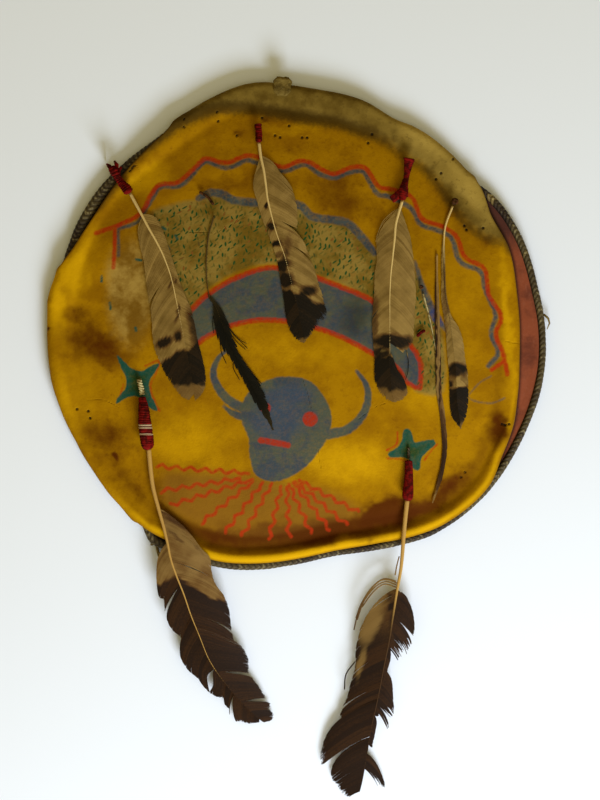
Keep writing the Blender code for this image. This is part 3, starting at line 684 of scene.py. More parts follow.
def inside_line(line, widths):
    """For each spot, its line's half width less its distance from the line."""
    widths = np.broadcast_to(widths, (len(line),))
    best = np.full(len(spots), -FAR)
    all_x, all_y = spots.T
    for (xa, ya), (xb, yb), wide_a, wide_b in zip(line[:-1, :2], line[1:, :2], widths[:-1], widths[1:]):
        near = (all_x > min(xa, xb) - LINE_MARGIN) & (all_x < max(xa, xb) + LINE_MARGIN)
        near &= (all_y > min(ya, yb) - LINE_MARGIN) & (all_y < max(ya, yb) + LINE_MARGIN)
        x, y = spots[near].T
        run, fall = xb - xa, yb - ya
        along = np.clip(((x - xa) * run + (y - ya) * fall) / (run * run + fall * fall + 1e-9), 0, 1)
        gap = np.hypot(x - xa - run * along, y - ya - fall * along)
        best[near] = np.maximum(best[near], wide_a + (wide_b - wide_a) * along - gap)
    return best


def stroke(points, half_width):
    """For each spot, how far inside a stroke along a smooth line it is."""
    return inside_line(drawn(points), half_width)


def bent(points, half_width=STROKE):
    """A stroke of straight runs with its corners slightly rounded."""
    line = np.array(points, float)
    for _ in range(2):
        after_corner = line[:-1] * 0.8 + line[1:] * 0.2
        before_corner = line[:-1] * 0.2 + line[1:] * 0.8
        cut = np.stack((after_corner, before_corner), 1).reshape(-1, 2)
        line = np.concatenate((line[:1], cut, line[-1:]))
    return inside_line(line, half_width)


def tapered_stroke(points):
    """A stroke through (x, y, half width) places."""
    line = drawn(points)
    return inside_line(line, line[:, 2])


def filled(points, smooth=True):
    """For each spot, how far inside a filled outline it is."""
    line = drawn(points, closed=True) if smooth else np.array(list(points) + [points[0]], float)
    x, y = spots.T
    inside = np.zeros(len(spots), bool)
    for (xa, ya), (xb, yb) in zip(line[:-1], line[1:]):
        crosses = (ya > y) != (yb > y)
        with np.errstate(divide="ignore", invalid="ignore"):
            inside ^= crosses & (x < (xb - xa) * (y - ya) / (yb - ya) + xa)
    edge_gap = -inside_line(line, 0.0)
    return np.where(inside, edge_gap, -edge_gap)


def dot(x, y, radius):
    """For each spot, how far inside a round mark it is."""
    return radius - np.hypot(spots[:, 0] - x, spots[:, 1] - y)


def any_of(*marks):
    """For each spot, how far inside the nearest of several marks it is."""
    return np.max(np.stack(marks), axis=0)


ZIGZAG_RED = (
    (96, 233), (115, 227), (138, 217), (146, 207), (149, 199), (158, 184), (178, 184), (186, 177),
    (200, 163), (206, 158), (226, 165), (246, 156), (257, 157), (282, 170), (300, 161), (310, 163),
    (322, 171), (334, 176), (350, 168), (362, 167), (368, 171), (378, 189), (394, 190), (412, 197),
    (416, 207), (421, 221), (441, 226), (457, 236), (463, 259), (485, 267), (487, 286), (488, 296),
    (503, 317), (494, 334), (503, 353), (507, 374),
)
ZIGZAG_BLUE = (
    (141, 219), (147, 208), (151, 201), (160, 186), (178, 188), (188, 181), (201, 165), (207, 161),
    (223, 169), (233, 168), (247, 160), (257, 164), (283, 174), (300, 166), (308, 166), (319, 175),
    (334, 180), (348, 173), (363, 171), (369, 182), (377, 196), (390, 197), (413, 210), (419, 226),
    (441, 232), (452, 238), (458, 264), (482, 271), (484, 290), (497, 315), (489, 334), (500, 353),
    (488, 366),
)
BLUE_ARC_LEFT = (
    (199, 199, 3.0), (210, 194, 4.0), (222, 195, 4.0), (233, 201, 4.0), (256, 204, 4.0), (280, 205, 4.0),
    (300, 207, 4.0), (312, 218, 4.0), (338, 222, 4.0), (348, 225, 4.0), (361, 238, 4.0), (374, 254, 3.0),
)
BLUE_ARC_RIGHT = (
    (414, 262, 1.0), (417, 272, 2.0), (422, 288, 2.6), (430, 308, 4.0), (437, 321, 4.0), (443, 328, 1.6),
    (448, 336, 0.4),
)
HAIL_GROUND = (
    (150, 215), (172, 205), (200, 200), (222, 197), (256, 206), (300, 210), (315, 222), (345, 226),
    (362, 242), (376, 258), (390, 300), (413, 350), (373, 302), (338, 284), (310, 274), (275, 265),
    (240, 272), (210, 289), (190, 309), (175, 300), (160, 262),
)
HAIL_GROUND_RIGHT = (
    (400, 262), (417, 275), (432, 318), (441, 330), (442, 392), (414, 390), (419, 368), (413, 352),
    (405, 330), (396, 300),
)
BAND_OUTER = (
    (180, 326), (192, 311), (205, 298), (218, 289), (232, 281), (249, 274), (262, 270), (275, 269),
    (296, 273), (317, 279), (338, 287), (357, 294.5), (373, 303), (400, 335), (415, 353), (420, 366),
    (419, 388),
)
BAND_INNER = (
    (192, 352), (201, 342), (212, 335), (233, 326), (258, 321), (285, 322), (319, 329.5), (345, 339.5),
    (373, 354.5), (396, 368), (405, 382),
)
HEAD = (
    (264, 382), (282, 377), (307, 380), (322, 394), (331, 415), (328, 436), (320, 449), (308, 464),
    (291, 476), (272, 481), (256, 474), (250, 455), (249, 438), (242, 420), (242, 407), (248, 394),
)
HORN_LEFT = (
    (246, 409, 5.0), (232, 402, 4.6), (220, 390, 4.0), (214, 374, 3.2), (218, 360, 2.4), (228, 350, 1.4),
)
HORN_RIGHT = (
    (328, 434, 5.0), (346, 430, 4.6), (360, 418, 4.2), (367, 402, 3.6), (366, 386, 2.8), (356, 371, 1.4),
)
EAR = ((244, 417, 4), (233, 413, 3), (224, 406, 1))
STAR_LEFT = (
    (117, 355), (122, 359), (133, 369), (143, 371), (152, 366), (160, 364), (156, 372), (150, 382),
    (151, 393), (158, 410), (152, 409), (143, 400), (136, 396), (127, 398), (116, 404), (118, 398),
    (126, 388), (127, 380), (122, 368),
)
STAR_RIGHT = (
    (403, 430), (401, 441), (396, 448), (388, 452), (389, 457), (400, 457), (409, 460), (413, 469),
    (419, 469.5), (421, 458), (428, 450), (435, 444), (433, 439.5), (422, 441), (414, 442), (411, 432),
    (407, 428),
)
GREEN_DABS = (
    (102.4, 276, 102, 282), (110.5, 303, 111, 309), (136, 328, 137, 331), (163, 228, 166, 230),
    (137, 260, 142, 261), (176, 236, 178, 240), (168, 247, 170, 250),
)
RAY_GROUND = (
    (165, 475), (205, 472), (250, 476), (290, 484), (330, 492), (360, 512), (335, 530), (290, 541),
    (240, 540), (200, 528), (165, 505),
)
RAYS = (
    (249, 473, 157, 466), (240, 478, 161, 491), (253, 479, 171, 505), (253, 481, 201, 523),
    (263, 482, 225, 532), (272, 483, 242, 536), (281, 486, 269, 539), (287, 486, 289, 537),
    (289, 484, 311, 533), (293, 482, 330, 530), (295, 481, 347, 525), (299, 480, 358, 512),
)
FADED_SPIRAL = ((491, 376), (480, 382), (474, 388), (468, 397), (478, 402), (492, 403), (505, 398))
SOIL_EDGE = (
    (40, 235), (95, 205), (130, 158), (176, 124), (184, 120), (200, 113), (220, 107), (250, 108),
    (275, 112), (300, 117), (338, 122), (367, 132), (386, 138), (401, 150), (424, 164), (441, 184),
    (456, 207), (470, 224), (488, 236), (505, 240), (522, 256), (560, 290),
)
PINHOLES = (
    (132, 168), (134, 166), (130, 171), (184, 119), (184, 127), (217, 112), (218, 121), (275, 136),
    (280, 138), (289, 126), (302, 138), (307, 138), (372, 134), (368, 143), (436, 179), (441, 173),
    (464, 226), (466, 230), (483, 228), (77, 409), (88, 411), (90, 418), (502, 424), (505, 425),
    (509, 424), (465, 472), (461, 477), (453, 159), (468, 168), (237, 136), (262, 118),
)
CRACKS = (
    ((87, 400), (104, 400), (119, 407)), ((303, 380), (308, 396), (312, 413)),
    ((385, 403), (372, 408), (358, 419)), ((318, 449), (319, 458), (321, 468)), ((190, 233), (212, 233)),
    ((208, 236), (207.5, 262), (208, 290)), ((212, 236), (228, 228), (245, 218)),
    ((505, 341), (516, 343), (528, 344)), ((137, 164), (140, 174), (140, 184)),
)


def ray(x_start, y_start, x_end, y_end):
    """A wavy line of the fan under the head."""
    length = np.hypot(x_end - x_start, y_end - y_start)
    along = np.linspace(0, 1, max(int(length / 1.8), 8))
    swing = along * length / RAY_WAVE + x_end
    sway = RAY_SWAY * (np.abs((swing % 1) * 2 - 1) - 0.5) * ease(0, 0.15, along)
    x = x_start + (x_end - x_start) * along - sway * (y_end - y_start) / length
    y = y_start + (y_end - y_start) * along + sway * (x_end - x_start) / length
    return inside_line(np.stack((x, y), -1), RAY_HALF_WIDTH)


# Lines of one width: half of it, then their places
RED_LINES = (
    (2.6, *BAND_OUTER), (2.6, *BAND_INNER), (2.0, (115, 227), (115, 248), (114, 268)),
    (1.9, (503, 362), (491, 370)), (2.2, (405, 382), (415, 388)), (3.0, (261, 440), (274, 442), (288, 445)),
    (0.8, (146, 366), (160, 361), (157, 373), (151, 387), (160, 411)), (0.7, (120, 398), (124, 384)),
    (0.8, (397, 432), (396, 444), (386, 450)), (0.8, (386, 458), (400, 459), (410, 463)),
    (0.7, (424, 460), (431, 450), (437, 444)),
)
BLUE_LINES = (
    (1.5, (118.5, 227), (119, 256)), (1.8, (121, 228), (130, 226), (139, 222)), (0.4, *FADED_SPIRAL),
)
EYES = ((266, 408, 5.0), (310, 419, 7.4))
INK_PATCHES = ((279, 418, 22, 18, 20), (286, 396, 20, 9, 10), (436, 317, 7, 12, -30))
PINHOLE_RADIUS = 1.4
RAY_WAVE = 14.5
RAY_SWAY = 4.6
RAY_HALF_WIDTH = 1.6
CRACK_HALF_WIDTH = 0.05
DAB_HALF_WIDTH = 1.3
red_lines = [stroke(line, half_width) for half_width, *line in RED_LINES]
eyes = [dot(*eye) for eye in EYES]
red_marks = any_of(bent(ZIGZAG_RED), *red_lines, *[ray(*line) for line in RAYS], *eyes)
blue_lines = [stroke(line, half_width) for half_width, *line in BLUE_LINES]
blue_arcs = [tapered_stroke(arc_line) for arc_line in (BLUE_ARC_LEFT, BLUE_ARC_RIGHT)]
blue_marks = any_of(bent(ZIGZAG_BLUE), *blue_lines, *blue_arcs)
band = filled(BAND_OUTER + BAND_INNER[::-1])
horns = [tapered_stroke(horn) for horn in (HORN_LEFT, HORN_RIGHT, EAR)]
ink = any_of(*[1 - oval(*spots.T, *patch) for patch in INK_PATCHES])
dabs = [bent(((xa, ya), (xb, yb)), DAB_HALF_WIDTH) for xa, ya, xb, yb in GREEN_DABS]
stars = any_of(filled(STAR_LEFT), filled(STAR_RIGHT), *dabs)
hail = any_of(filled(HAIL_GROUND), filled(HAIL_GROUND_RIGHT))
dull_patch = 1 - oval(*spots.T, 132, 292, 30, 62, 0)
ray_ground = filled(RAY_GROUND)
soil_side = filled(SOIL_EDGE + ((560, 20), (40, 20)), smooth=False)
cracks = [stroke(crack, CRACK_HALF_WIDTH) for crack in CRACKS]
holes = any_of(*[dot(x, y, PINHOLE_RADIUS) for x, y in PINHOLES], *cracks)
strayed = spots + 5.5 * np.stack((wobble(*spots.T, 15.0, 81), wobble(*spots.T, 15.0, 82)), -1)
strayed = strayed + 2.6 * np.stack((wobble(*spots.T, 5.0, 83), wobble(*spots.T, 5.0, 84)), -1)


def patches(table):
    """How strongly each spot lies in one of the soft patches of a table."""
    fading = [mark[5] * np.exp(-1.1 * oval(*strayed.T, *mark[:5]) ** 2.2) for mark in table]
    return np.max(fading, axis=0)


pale_soil = np.exp(-1.2 * oval(*strayed.T, 425, 138, 44, 16, -34) ** 2)
pale_soil = np.maximum(pale_soil, np.exp(-1.2 * oval(*strayed.T, 470, 190, 46, 15, -54) ** 2) * 0.8)
inward = (cover_radius(way_round) - out) / PIXEL
rolled = np.exp(-((inward - 4.5) / 3.5) ** 2) * smooth_curve(EDGE_ROLL, way_round, 360) / 3.4
from_right = (way_round + 180) % 360 - 180
# Painted highlight along the outer flank of the edge roll at the bottom, where the light falls on it.
rolled_highlight = 1.25 * rolled * ease(-160, -120, from_right) * ease(20, -20, from_right)
clean = np.maximum(patches(CLEAN_AND_HIGHLIGHT), rolled_highlight)
# Darker brown in the hollow just inside the edge roll.
hollow = smooth_curve(EDGE_HOLLOW, way_round, 360) * np.exp(-((inward - 21) / 9) ** 2)
cover_marks = {
    "red": red_marks, "blue": blue_marks, "slate": any_of(band, filled(HEAD), *horns), "ink": ink,
    "green": stars, "hail": hail, "patch": dull_patch, "fan": ray_ground, "soil": soil_side,
    "holes": holes, "stain": hollow, "pale": pale_soil, "grime": patches(GRIME_AND_SHADE), "clean": clean,
    "inward": inward, "face": np.ones(len(spots)),
}
BARE_TONES = ("face", "stain", "pale", "grime", "clean")
cover_tones = {
    tone: np.concatenate((values, np.full(len(under_spots), 0.0 if tone in BARE_TONES else -FAR)))
    for tone, values in cover_marks.items()
}

painted_hide = Finish("painted_hide", roughness=0.75, specular=0.03)
mix, tone, noise, node = painted_hide.mix, painted_hide.tone, painted_hide.noise, painted_hide.node
grain = noise(0.0018, 4.0, 0.6)
blotch = noise(0.028, 4.0, 0.6)
fleck = noise(0.0045, 4.0, 0.65)
waver = (noise(0.004, 3.0, 0.6) - 0.5) * 3.0
rubbed = noise(0.0032, 5.0, 0.7).rise(0.34, 0.60)


def paint_on(under, mark, paint, strength, soft=0.9, wear=0.25):
    """Paint rubbed into the hide where a mark is: its edge wavers and its grain lets the hide show."""
    reach = (tone(mark) + waver * 0.7).rise(-soft, soft)
    return mix(under, paint, reach * strength * (rubbed * wear + (1 - wear)))


yellow = mix(srgb(158, 112, 1), srgb(130, 86, 1), blotch.rise(0.38, 0.66) * 0.7)
yellow = mix(yellow, srgb(106, 64, 2), fleck.rise(0.52, 0.78) * 0.45)
# Brighter yellow: partly clean hide and partly painted highlight on the rolled edges and bulges.
yellow = mix(yellow, srgb(206, 156, 4), (tone("clean") * 1.3 + (fleck - 0.5) * 0.5).rise(0.1, 1.2) * 0.8)
# Brown patches: partly grease and dirt and partly painted shade, such as shadows beside the feathers and in
# folds.
dirt_and_shade = (tone("grime") * 1.15 + (blotch - 0.5) * 0.5 + (fleck - 0.5) * 0.25).rise(0.08, 1.0)
hide = mix(yellow, srgb(74, 30, 1), dirt_and_shade * 0.96)
hail_tan = mix(srgb(134, 112, 52), srgb(100, 80, 24), blotch.rise(0.38, 0.62))
hail_tan = mix(hail_tan, srgb(132, 88, 30), fleck.rise(0.50, 0.70) * 0.5)
hide = mix(hide, hail_tan, (tone("hail") + waver).rise(-3.0, 3.0) * 0.9)
patch_tan = mix(srgb(164, 134, 66), srgb(112, 80, 22), blotch.rise(0.36, 0.60))
hide = mix(hide, patch_tan, (tone("patch") + waver * 0.08).rise(-0.10, 0.45) * 0.85)
hide = mix(hide, srgb(120, 80, 22), (tone("fan") + waver).rise(-9.0, 9.0) * (0.8 - dirt_and_shade * 0.4))
soil = mix(srgb(116, 95, 40), srgb(84, 66, 22), blotch.rise(0.38, 0.66))
soil = mix(soil, srgb(170, 142, 66), tone("pale"))
soil = mix(soil, srgb(60, 46, 14), fleck.rise(0.52, 0.75) * 0.5)
soil_line = tone("soil") + waver * 2.2
hide = mix(hide, soil, soil_line.rise(-9.0, 5.0) * 0.92)
soil_stripe = soil_line.rise(-12.0, -2.0) * (1 - soil_line.rise(2.0, 11.0))
hide = mix(hide, srgb(62, 44, 10), soil_stripe * (1 - tone("pale").rise(0.0, 0.12)) * 0.8)
# Darker brown in the hollow just inside the edge roll.
hide = mix(hide, srgb(74, 32, 1), tone("stain").rise(0.05, 1.2) * 0.85)
hide = mix(hide, srgb(96, 66, 20), (1 - tone("inward").rise(-1.5, 2.5)) * 0.6)

slate = mix(srgb(66, 76, 68), srgb(48, 64, 76), noise(0.016, 3.0).rise(0.40, 0.60))
slate = mix(slate, srgb(82, 82, 54), fleck.rise(0.50, 0.75) * 0.4)
slate = mix(slate, srgb(46, 66, 88), tone("ink").rise(-0.8, 0.4) * 0.8)
# The band is darkened under the brown patches, mostly as a painted shadow beside the right feather.
slate = mix(slate, srgb(40, 42, 34), dirt_and_shade * 0.6)
hide = paint_on(hide, "slate", slate, 0.95, soft=1.2, wear=0.12)
line_blue = mix(srgb(58, 74, 80), srgb(38, 58, 72), noise(0.012, 3.0).rise(0.40, 0.60))
line_blue = mix(line_blue, srgb(22, 56, 112), tone("ink").rise(-0.8, 0.4))
hide = paint_on(hide, "blue", line_blue, 0.90, soft=1.5, wear=0.35)
hide = paint_on(hide, "red", srgb(160, 42, 10), 0.93, soft=1.2, wear=0.35)
star_green = mix(srgb(4, 72, 62), srgb(22, 62, 34), (tone("green") + waver).rise(1.5, 8.0))
hide = paint_on(hide, "green", star_green, 0.97, wear=0.10)

# Hail: short slanting dashes, one to a cell of a stretched pattern, mostly green
HAIL_SLANT = radians(14)
CELL_ACROSS, CELL_ALONG = 4.4, 5.6
DASH_WIDE, DASH_LONG = 0.9, 1.9
SLANT_SPREAD = 1.7
turned = node(
    "ShaderNodeVectorRotate", {"rotation_type": "Z_AXIS"},
    {"Vector": painted_hide.place, "Angle": HAIL_SLANT},
)
cells = node(
    "ShaderNodeVectorMath", {"operation": "MULTIPLY"},
    {0: turned, 1: (1 / (CELL_ACROSS * PIXEL), 1 / (CELL_ALONG * PIXEL), 0.0)},
)
cell_settings = {"voronoi_dimensions": "2D", "feature": "F1"}
cell_inputs = {"Vector": cells, "Scale": 1.0, "Randomness": 0.95}
cell_middle = node("ShaderNodeTexVoronoi", cell_settings, cell_inputs, "Position")
cell_luck = node("ShaderNodeTexVoronoi", cell_settings, cell_inputs, "Color")
off_middle = node("ShaderNodeVectorMath", {"operation": "SUBTRACT"}, {0: cells, 1: cell_middle})
off_across = node("ShaderNodeSeparateXYZ", {}, {0: off_middle}, 0)
off_along = node("ShaderNodeSeparateXYZ", {}, {0: off_middle}, 1)
luck = node("ShaderNodeSeparateColor", {}, {0: cell_luck}, 0)
own_slant = (node("ShaderNodeSeparateColor", {}, {0: cell_luck}, 1) - 0.42) * SLANT_SPREAD
wide_of_it = off_across * (CELL_ACROSS / DASH_WIDE) - off_along * own_slant * (CELL_ALONG / DASH_WIDE)
long_of_it = off_along * (CELL_ALONG / DASH_LONG)
dash = 1 - (wide_of_it * wide_of_it + long_of_it * long_of_it + waver * 0.35).rise(0.3, 1.9)
dash = dash * tone("hail").rise(1.0, 4.0) * (1 - tone("blue").rise(-2.0, 0.0))
hide = mix(hide, srgb(50, 66, 24), dash * (0.25 + luck * 0.75))
hide = mix(hide, srgb(16, 68, 34), dash * luck.rise(0.60, 0.68) * 0.85)
hide = mix(hide, srgb(150, 84, 30), dash * luck.rise(0.93, 0.96) * 0.7)

hide = mix(hide, srgb(24, 16, 8), tone("holes").rise(-0.5, 0.5))
raw = mix(srgb(150, 128, 88), srgb(112, 90, 54), blotch.rise(0.4, 0.65))
painted_hide.colour(mix(raw, hide, tone("face")))
painted_hide.relief(grain * 0.35 + fleck * 0.4 + blotch * 0.25 - tone("holes").rise(-1.0, 0.4), 0.0006)
cover = new_piece(
    "hide_cover_finished", cover_points, cover_faces, painted_hide, "painted_hide",
    ["hide_cover"], cover_tones,
)

# The hanging tab
# The stub of a hide strip that once carried the shield, folded over the top edge and flattened. It is
# unpainted and grubby.
TAB = ((282, 96), (283, 88), (283, 77))
TAB_WIDTH = 0.0175
TAB_HEAD_SPREAD = 0.06
TAB_THICKNESS = 0.0018
tab_ends = np.array([at(TAB[0]), at(TAB[-1])])
tab_middle = tab_ends.mean(0)
tab_run = tab_ends[1] - tab_ends[0]
tab_length = np.linalg.norm(tab_run)
tab_along = tab_run / tab_length
tab_across = np.array((tab_along[1], -tab_along[0], 0.0))
TAB_COLUMNS, TAB_ROWS = 28, 30
u, v = np.meshgrid(np.linspace(-1, 1, TAB_COLUMNS), np.linspace(-1, 1, TAB_ROWS))
tab_edge = np.clip(1 - np.maximum(np.abs(u), np.abs(v)) ** 8, 0, 1) ** 0.5
tab_uneven = 0.92 + 0.08 * wobble(v * 3, v * 0, 1.0, 21) + TAB_HEAD_SPREAD * ease(0.0, 1.0, v)
tab_wide = TAB_WIDTH / 2 * u * tab_uneven
tab_wide = tab_wide * (1 - 0.45 * ease(-0.45, -1.0, v)) * (1 - 0.35 * ease(0.5, 1.0, v))
tab_long = tab_length / 2 * v * (1 + 0.06 * wobble(u * 2, u * 0, 1.0, 22))
tab_place = tab_middle + tab_along * tab_long[..., None] + tab_across * tab_wide[..., None]
tab_rest = max(float(face_height(*at(place)[:2])) for place in TAB[:2]) + LAY_GAP
tab_fold = 0.0006 * np.exp(-((u + 0.25 + 0.2 * v) / 0.22) ** 2) - 0.0004 * np.exp(-((u - 0.3) / 0.15) ** 2)
tab_fold = tab_fold + 0.0010 * np.exp(-((v - 0.72 + 0.1 * u) / 0.22) ** 2)
tab_top = tab_rest + TAB_THICKNESS * (0.5 + 0.5 * tab_edge) + tab_fold * tab_edge
tab_under = tab_rest + TAB_THICKNESS * (0.5 - 0.5 * tab_edge)
tab_layers = [np.stack((tab_place[..., 0], tab_place[..., 1], up), -1) for up in (tab_top, tab_under)]
tab_points = np.concatenate(tab_layers).reshape(-1, 3)


def sheet_faces(columns, rows):
    """Faces of a flat sheet of two layers that share their outline's places, top layer first."""
    here = (np.arange(rows - 1)[:, None] * columns + np.arange(columns - 1)[None, :]).reshape(-1)
    top = np.stack((here, here + 1, here + columns + 1, here + columns), -1)
    under = top[:, ::-1] + rows * columns
    outline = list(range(columns)) + [(k + 1) * columns - 1 for k in range(1, rows)]
    outline += [(rows - 1) * columns + k for k in reversed(range(columns - 1))]
    outline += [k * columns for k in reversed(range(1, rows - 1))]
    after = outline[1:] + outline[:1]
    sides = [(a, a + rows * columns, b + rows * columns, b) for a, b in zip(outline, after)]
    return np.concatenate((top, under, np.array(sides))).tolist()


bare_hide = Finish("bare_hide", roughness=0.85, specular=0.05)
grubby = bare_hide.noise(0.006, 4.0, 0.6).rise(0.40, 0.66)
scraped = bare_hide.noise(0.0025, 3.0, 0.6).rise(0.58, 0.76)
tab_colour = bare_hide.mix(srgb(112, 92, 42), srgb(78, 62, 24), grubby)
bare_hide.colour(bare_hide.mix(tab_colour, srgb(140, 120, 74), scraped * 0.4))
bare_hide.relief(bare_hide.noise(0.0014, 4.0, 0.6), 0.0007)
tab_faces = sheet_faces(TAB_COLUMNS, TAB_ROWS)
new_piece("hanging_tab_finished", tab_points, tab_faces, bare_hide, "bare_hide", ["hanging_tab"])

# The feathers
# Real wing and tail feathers, each with its own curve, bars and breaks. Every barb is a fine ribbon that
# runs from the shaft out and down to the edge of the vane. The two long ones are the most ragged.
END_GAP = 0.0007
SHAFT_PROBE = 0.010
TIP_ROOM = 0.014
HAWK_QUILL_RADIUS = 0.0013
EAGLE_QUILL_RADIUS = 0.0019
SMALL_QUILL_RADIUS = 0.0009
THIN_QUILL_RADIUS = 0.0006
SHAFT_TAPER = 0.62
SHAFT_STEPS = 100
SHAFT_SIDES = 10
BARB_STEPS = 9
BARB_TILT = 0.00008
BARBS_PER_PIXEL = 2.1
SPLIT_REACH = 22


def stiff_line(distances, heights):
    """The lowest line over these heights that a stiff shaft can take: it never dips between them."""
    hull = []
    for point in zip(distances, heights):
        while len(hull) > 1:
            (xa, ya), (xb, yb) = hull[-2], hull[-1]
            if (yb - ya) * (point[0] - xa) > (point[1] - ya) * (xb - xa):
                break
            hull.pop()
        hull.append(point)
    return np.interp(distances, *np.array(hull).T)


class Shaft:
    """A feather's middle line as it lies on the shield. It is worked out to a little past the tip."""

    def __init__(self, stations, quill_radius):
        rows = np.array([(*at(spot)[:2], spot[2] * PIXEL, spot[3] * PIXEL) for spot in stations])
        length = run_length(rows[:, :2])
        self.long = length[-1]
        beyond = rows[-1] + (rows[-1] - rows[-2]) * TIP_ROOM / (length[-1] - length[-2])
        beyond[2:] = rows[-1, 2:]
        rows = np.concatenate((rows, beyond[None]))
        length = np.append(length, self.long + TIP_ROOM)
        self.along = np.linspace(END_GAP, length[-1], SHAFT_STEPS)
        self.x, self.y, left, right = [
            smooth_curve(list(zip(length, rows[:, k])), self.along) for k in range(4)
        ]
        self.forward = np.stack((np.gradient(self.x), np.gradient(self.y)), -1)
        self.forward /= np.linalg.norm(self.forward, axis=1)[:, None]
        self.side_x, self.side_y = -self.forward[:, 1], self.forward[:, 0]
        self.radius = quill_radius * (1 - SHAFT_TAPER * np.clip(self.along / self.long, 0, 1))
        rim = rim_radius(np.degrees(np.arctan2(self.y, self.x)))
        flat = 1 - ease(0.80, 0.95, np.hypot(self.x, self.y) / rim)
        self.slope = flat * (self.ground(SHAFT_PROBE) - self.ground(-SHAFT_PROBE)) / (2 * SHAFT_PROBE)
        places = (-left, -left / 2, 0 * left, right / 2, right)
        needed = np.max([self.ground(across) - self.slope * across for across in places], axis=0)
        self.height = stiff_line(self.along, needed)

    def ground(self, across):
        """How high the shield is, this far to the picture's right of the whole shaft."""
        return face_height(self.x + self.side_x * across, self.y + self.side_y * across)

    def read(self, values, along):
        return np.interp(along, self.along, values)

    def place(self, along, across):
        """Where a place of the vane is: this far down the shaft and this far to the picture's right."""
        x = self.read(self.x, along) + self.read(self.side_x, along) * across
        y = self.read(self.y, along) + self.read(self.side_y, along) * across
        up = self.read(self.height, along) + self.read(self.slope, along) * across + LAY_GAP
        return np.stack((x, y, up + self.read(self.radius, along)), -1)

    def foot(self, picture_places):
        """How far down the shaft and how far to its right these places in the picture are."""
        spots = np.array([at(place)[:2] for place in picture_places])
        off = spots[:, None] - np.stack((self.x, self.y), -1)[None]
        nearest = np.argmin(np.linalg.norm(off, axis=-1), axis=1)
        off = off[np.arange(len(spots)), nearest]
        along = self.along[nearest] + (off * self.forward[nearest]).sum(-1)
        side = np.stack((self.side_x, self.side_y), -1)[nearest]
        return along, (off * side).sum(-1)


def vane(shaft, lobes, lean, ragged, closing, camber, splits, seed):
    """The barbs of a feather as ribbons, with a number of luck for each clump of them.

    A lobe is the line that the ends of its barbs make, from the head of the feather to its tip, and how
    frayed its end is. ragged is how much of a barb may be worn away and closing is how far a clump's ends
    draw together. A split is a side (-1 left, 1 right), how far down the shaft, and how far it gapes at
    the edge and in its middle, in pixels.
    """
    luck = np.random.RandomState(seed)
    points, faces, lucks = [], [], []
    start = 0
    t = np.linspace(0, 1, BARB_STEPS + 1)
    for fray, *edge in lobes:
        ends = drawn(edge, spacing=1.0 / BARBS_PER_PIXEL)
        tips, widths = shaft.foot(ends)
        sign = np.sign(widths.mean())
        widths = np.abs(widths)
        roots = np.clip(np.maximum.accumulate(tips - lean * widths), 0.2 * PIXEL, shaft.long)
        roots = roots + np.linspace(0, 0.5 * PIXEL, len(roots))
        root_gaps = np.gradient(roots)
        end_gaps = np.linalg.norm(np.gradient(ends, axis=0), axis=1) * PIXEL
        clump_size, clump_place, clump_luck = 1, 1, 0.0
        for number, (tip, width, root) in enumerate(zip(tips, widths, roots)):
            if clump_place >= clump_size:
                clump_size, clump_place, clump_luck = luck.randint(7, 24), 0, luck.rand()
            in_clump = (clump_place + 0.5) / clump_size - 0.5
            clump_place += 1
            rounded = 1 - np.sqrt(max(1 - (2 * in_clump) ** 2, 0))
            worn = ragged * (0.55 * rounded + 0.65 * clump_luck ** 2 + 0.25 * luck.rand())
            down = number / len(tips)
            worn = worn + fray * ease(0.55, 1.0, down) * luck.rand() ** 1.5
            worn = worn + 0.4 * ease(0.16, 0.0, down) * luck.rand()
            reach = t * max(1 - worn, 0.15)
            along = root + (tip - root) * reach ** 1.15
            along = along - in_clump * clump_size * end_gaps[number] * closing * reach ** 2
            for split_side, split_at, at_edge, in_middle in splits:
                off = tip / PIXEL - split_at
                if split_side == sign and abs(off) < SPLIT_REACH:
                    gape = at_edge * reach ** 2 + in_middle * np.sin(pi * reach) ** 2
                    along = along + np.sign(off) * gape * PIXEL * (1 - abs(off) / SPLIT_REACH) ** 2
            across = width * (1 - (1 - reach) ** 1.25)
            middle = shaft.place(along, sign * across)
            bow = camber * across * (1 - across / (width + 0.012)) - camber * 0.3 * across * reach
            middle[:, 2] += bow + 0.00006 * (number % 5) + 0.00015 * clump_luck
            heading = np.gradient(middle[:, :2], axis=0)
            heading /= np.linalg.norm(heading, axis=1)[:, None] + 1e-12
            gap = np.clip(root_gaps[number], 0.1 * PIXEL, PIXEL) * (1 - t) + end_gaps[number] * t
            half = gap * (0.70 - 0.34 * t ** 5) * (0.9 + 0.4 * luck.rand())
            sideways = np.stack((-heading[:, 1], heading[:, 0], 0 * t), -1) * half[:, None]
            edges = middle - sideways, middle + sideways + (0, 0, BARB_TILT)
            points.append(np.stack(edges, 1).reshape(-1, 3))
            here = start + 2 * np.arange(BARB_STEPS)
            faces.append(np.stack((here, here + 1, here + 3, here + 2), -1))
            lucks.append(np.full(2 * len(t), 0.65 * clump_luck + 0.35 * luck.rand()))
            start += 2 * len(t)
    return np.concatenate(points), np.concatenate(faces).tolist(), np.concatenate(lucks)


def marked(points, marks):
    """1 inside any of these turned ovals (x, y, half sizes, turn, strength), soft at the edge."""
    x, y = in_picture(*points.T[:2])
    x = x + 1.2 * wobble(x, y, 4.0, 31)
    y = y + 1.6 * wobble(x, y, 4.0, 32)
    stains = [(1 - ease(0.4, 1.6, oval(x, y, *mark[:5]))) * (*mark, 1.0)[5] for mark in marks]
    return np.max(stains + [0 * x], axis=0)


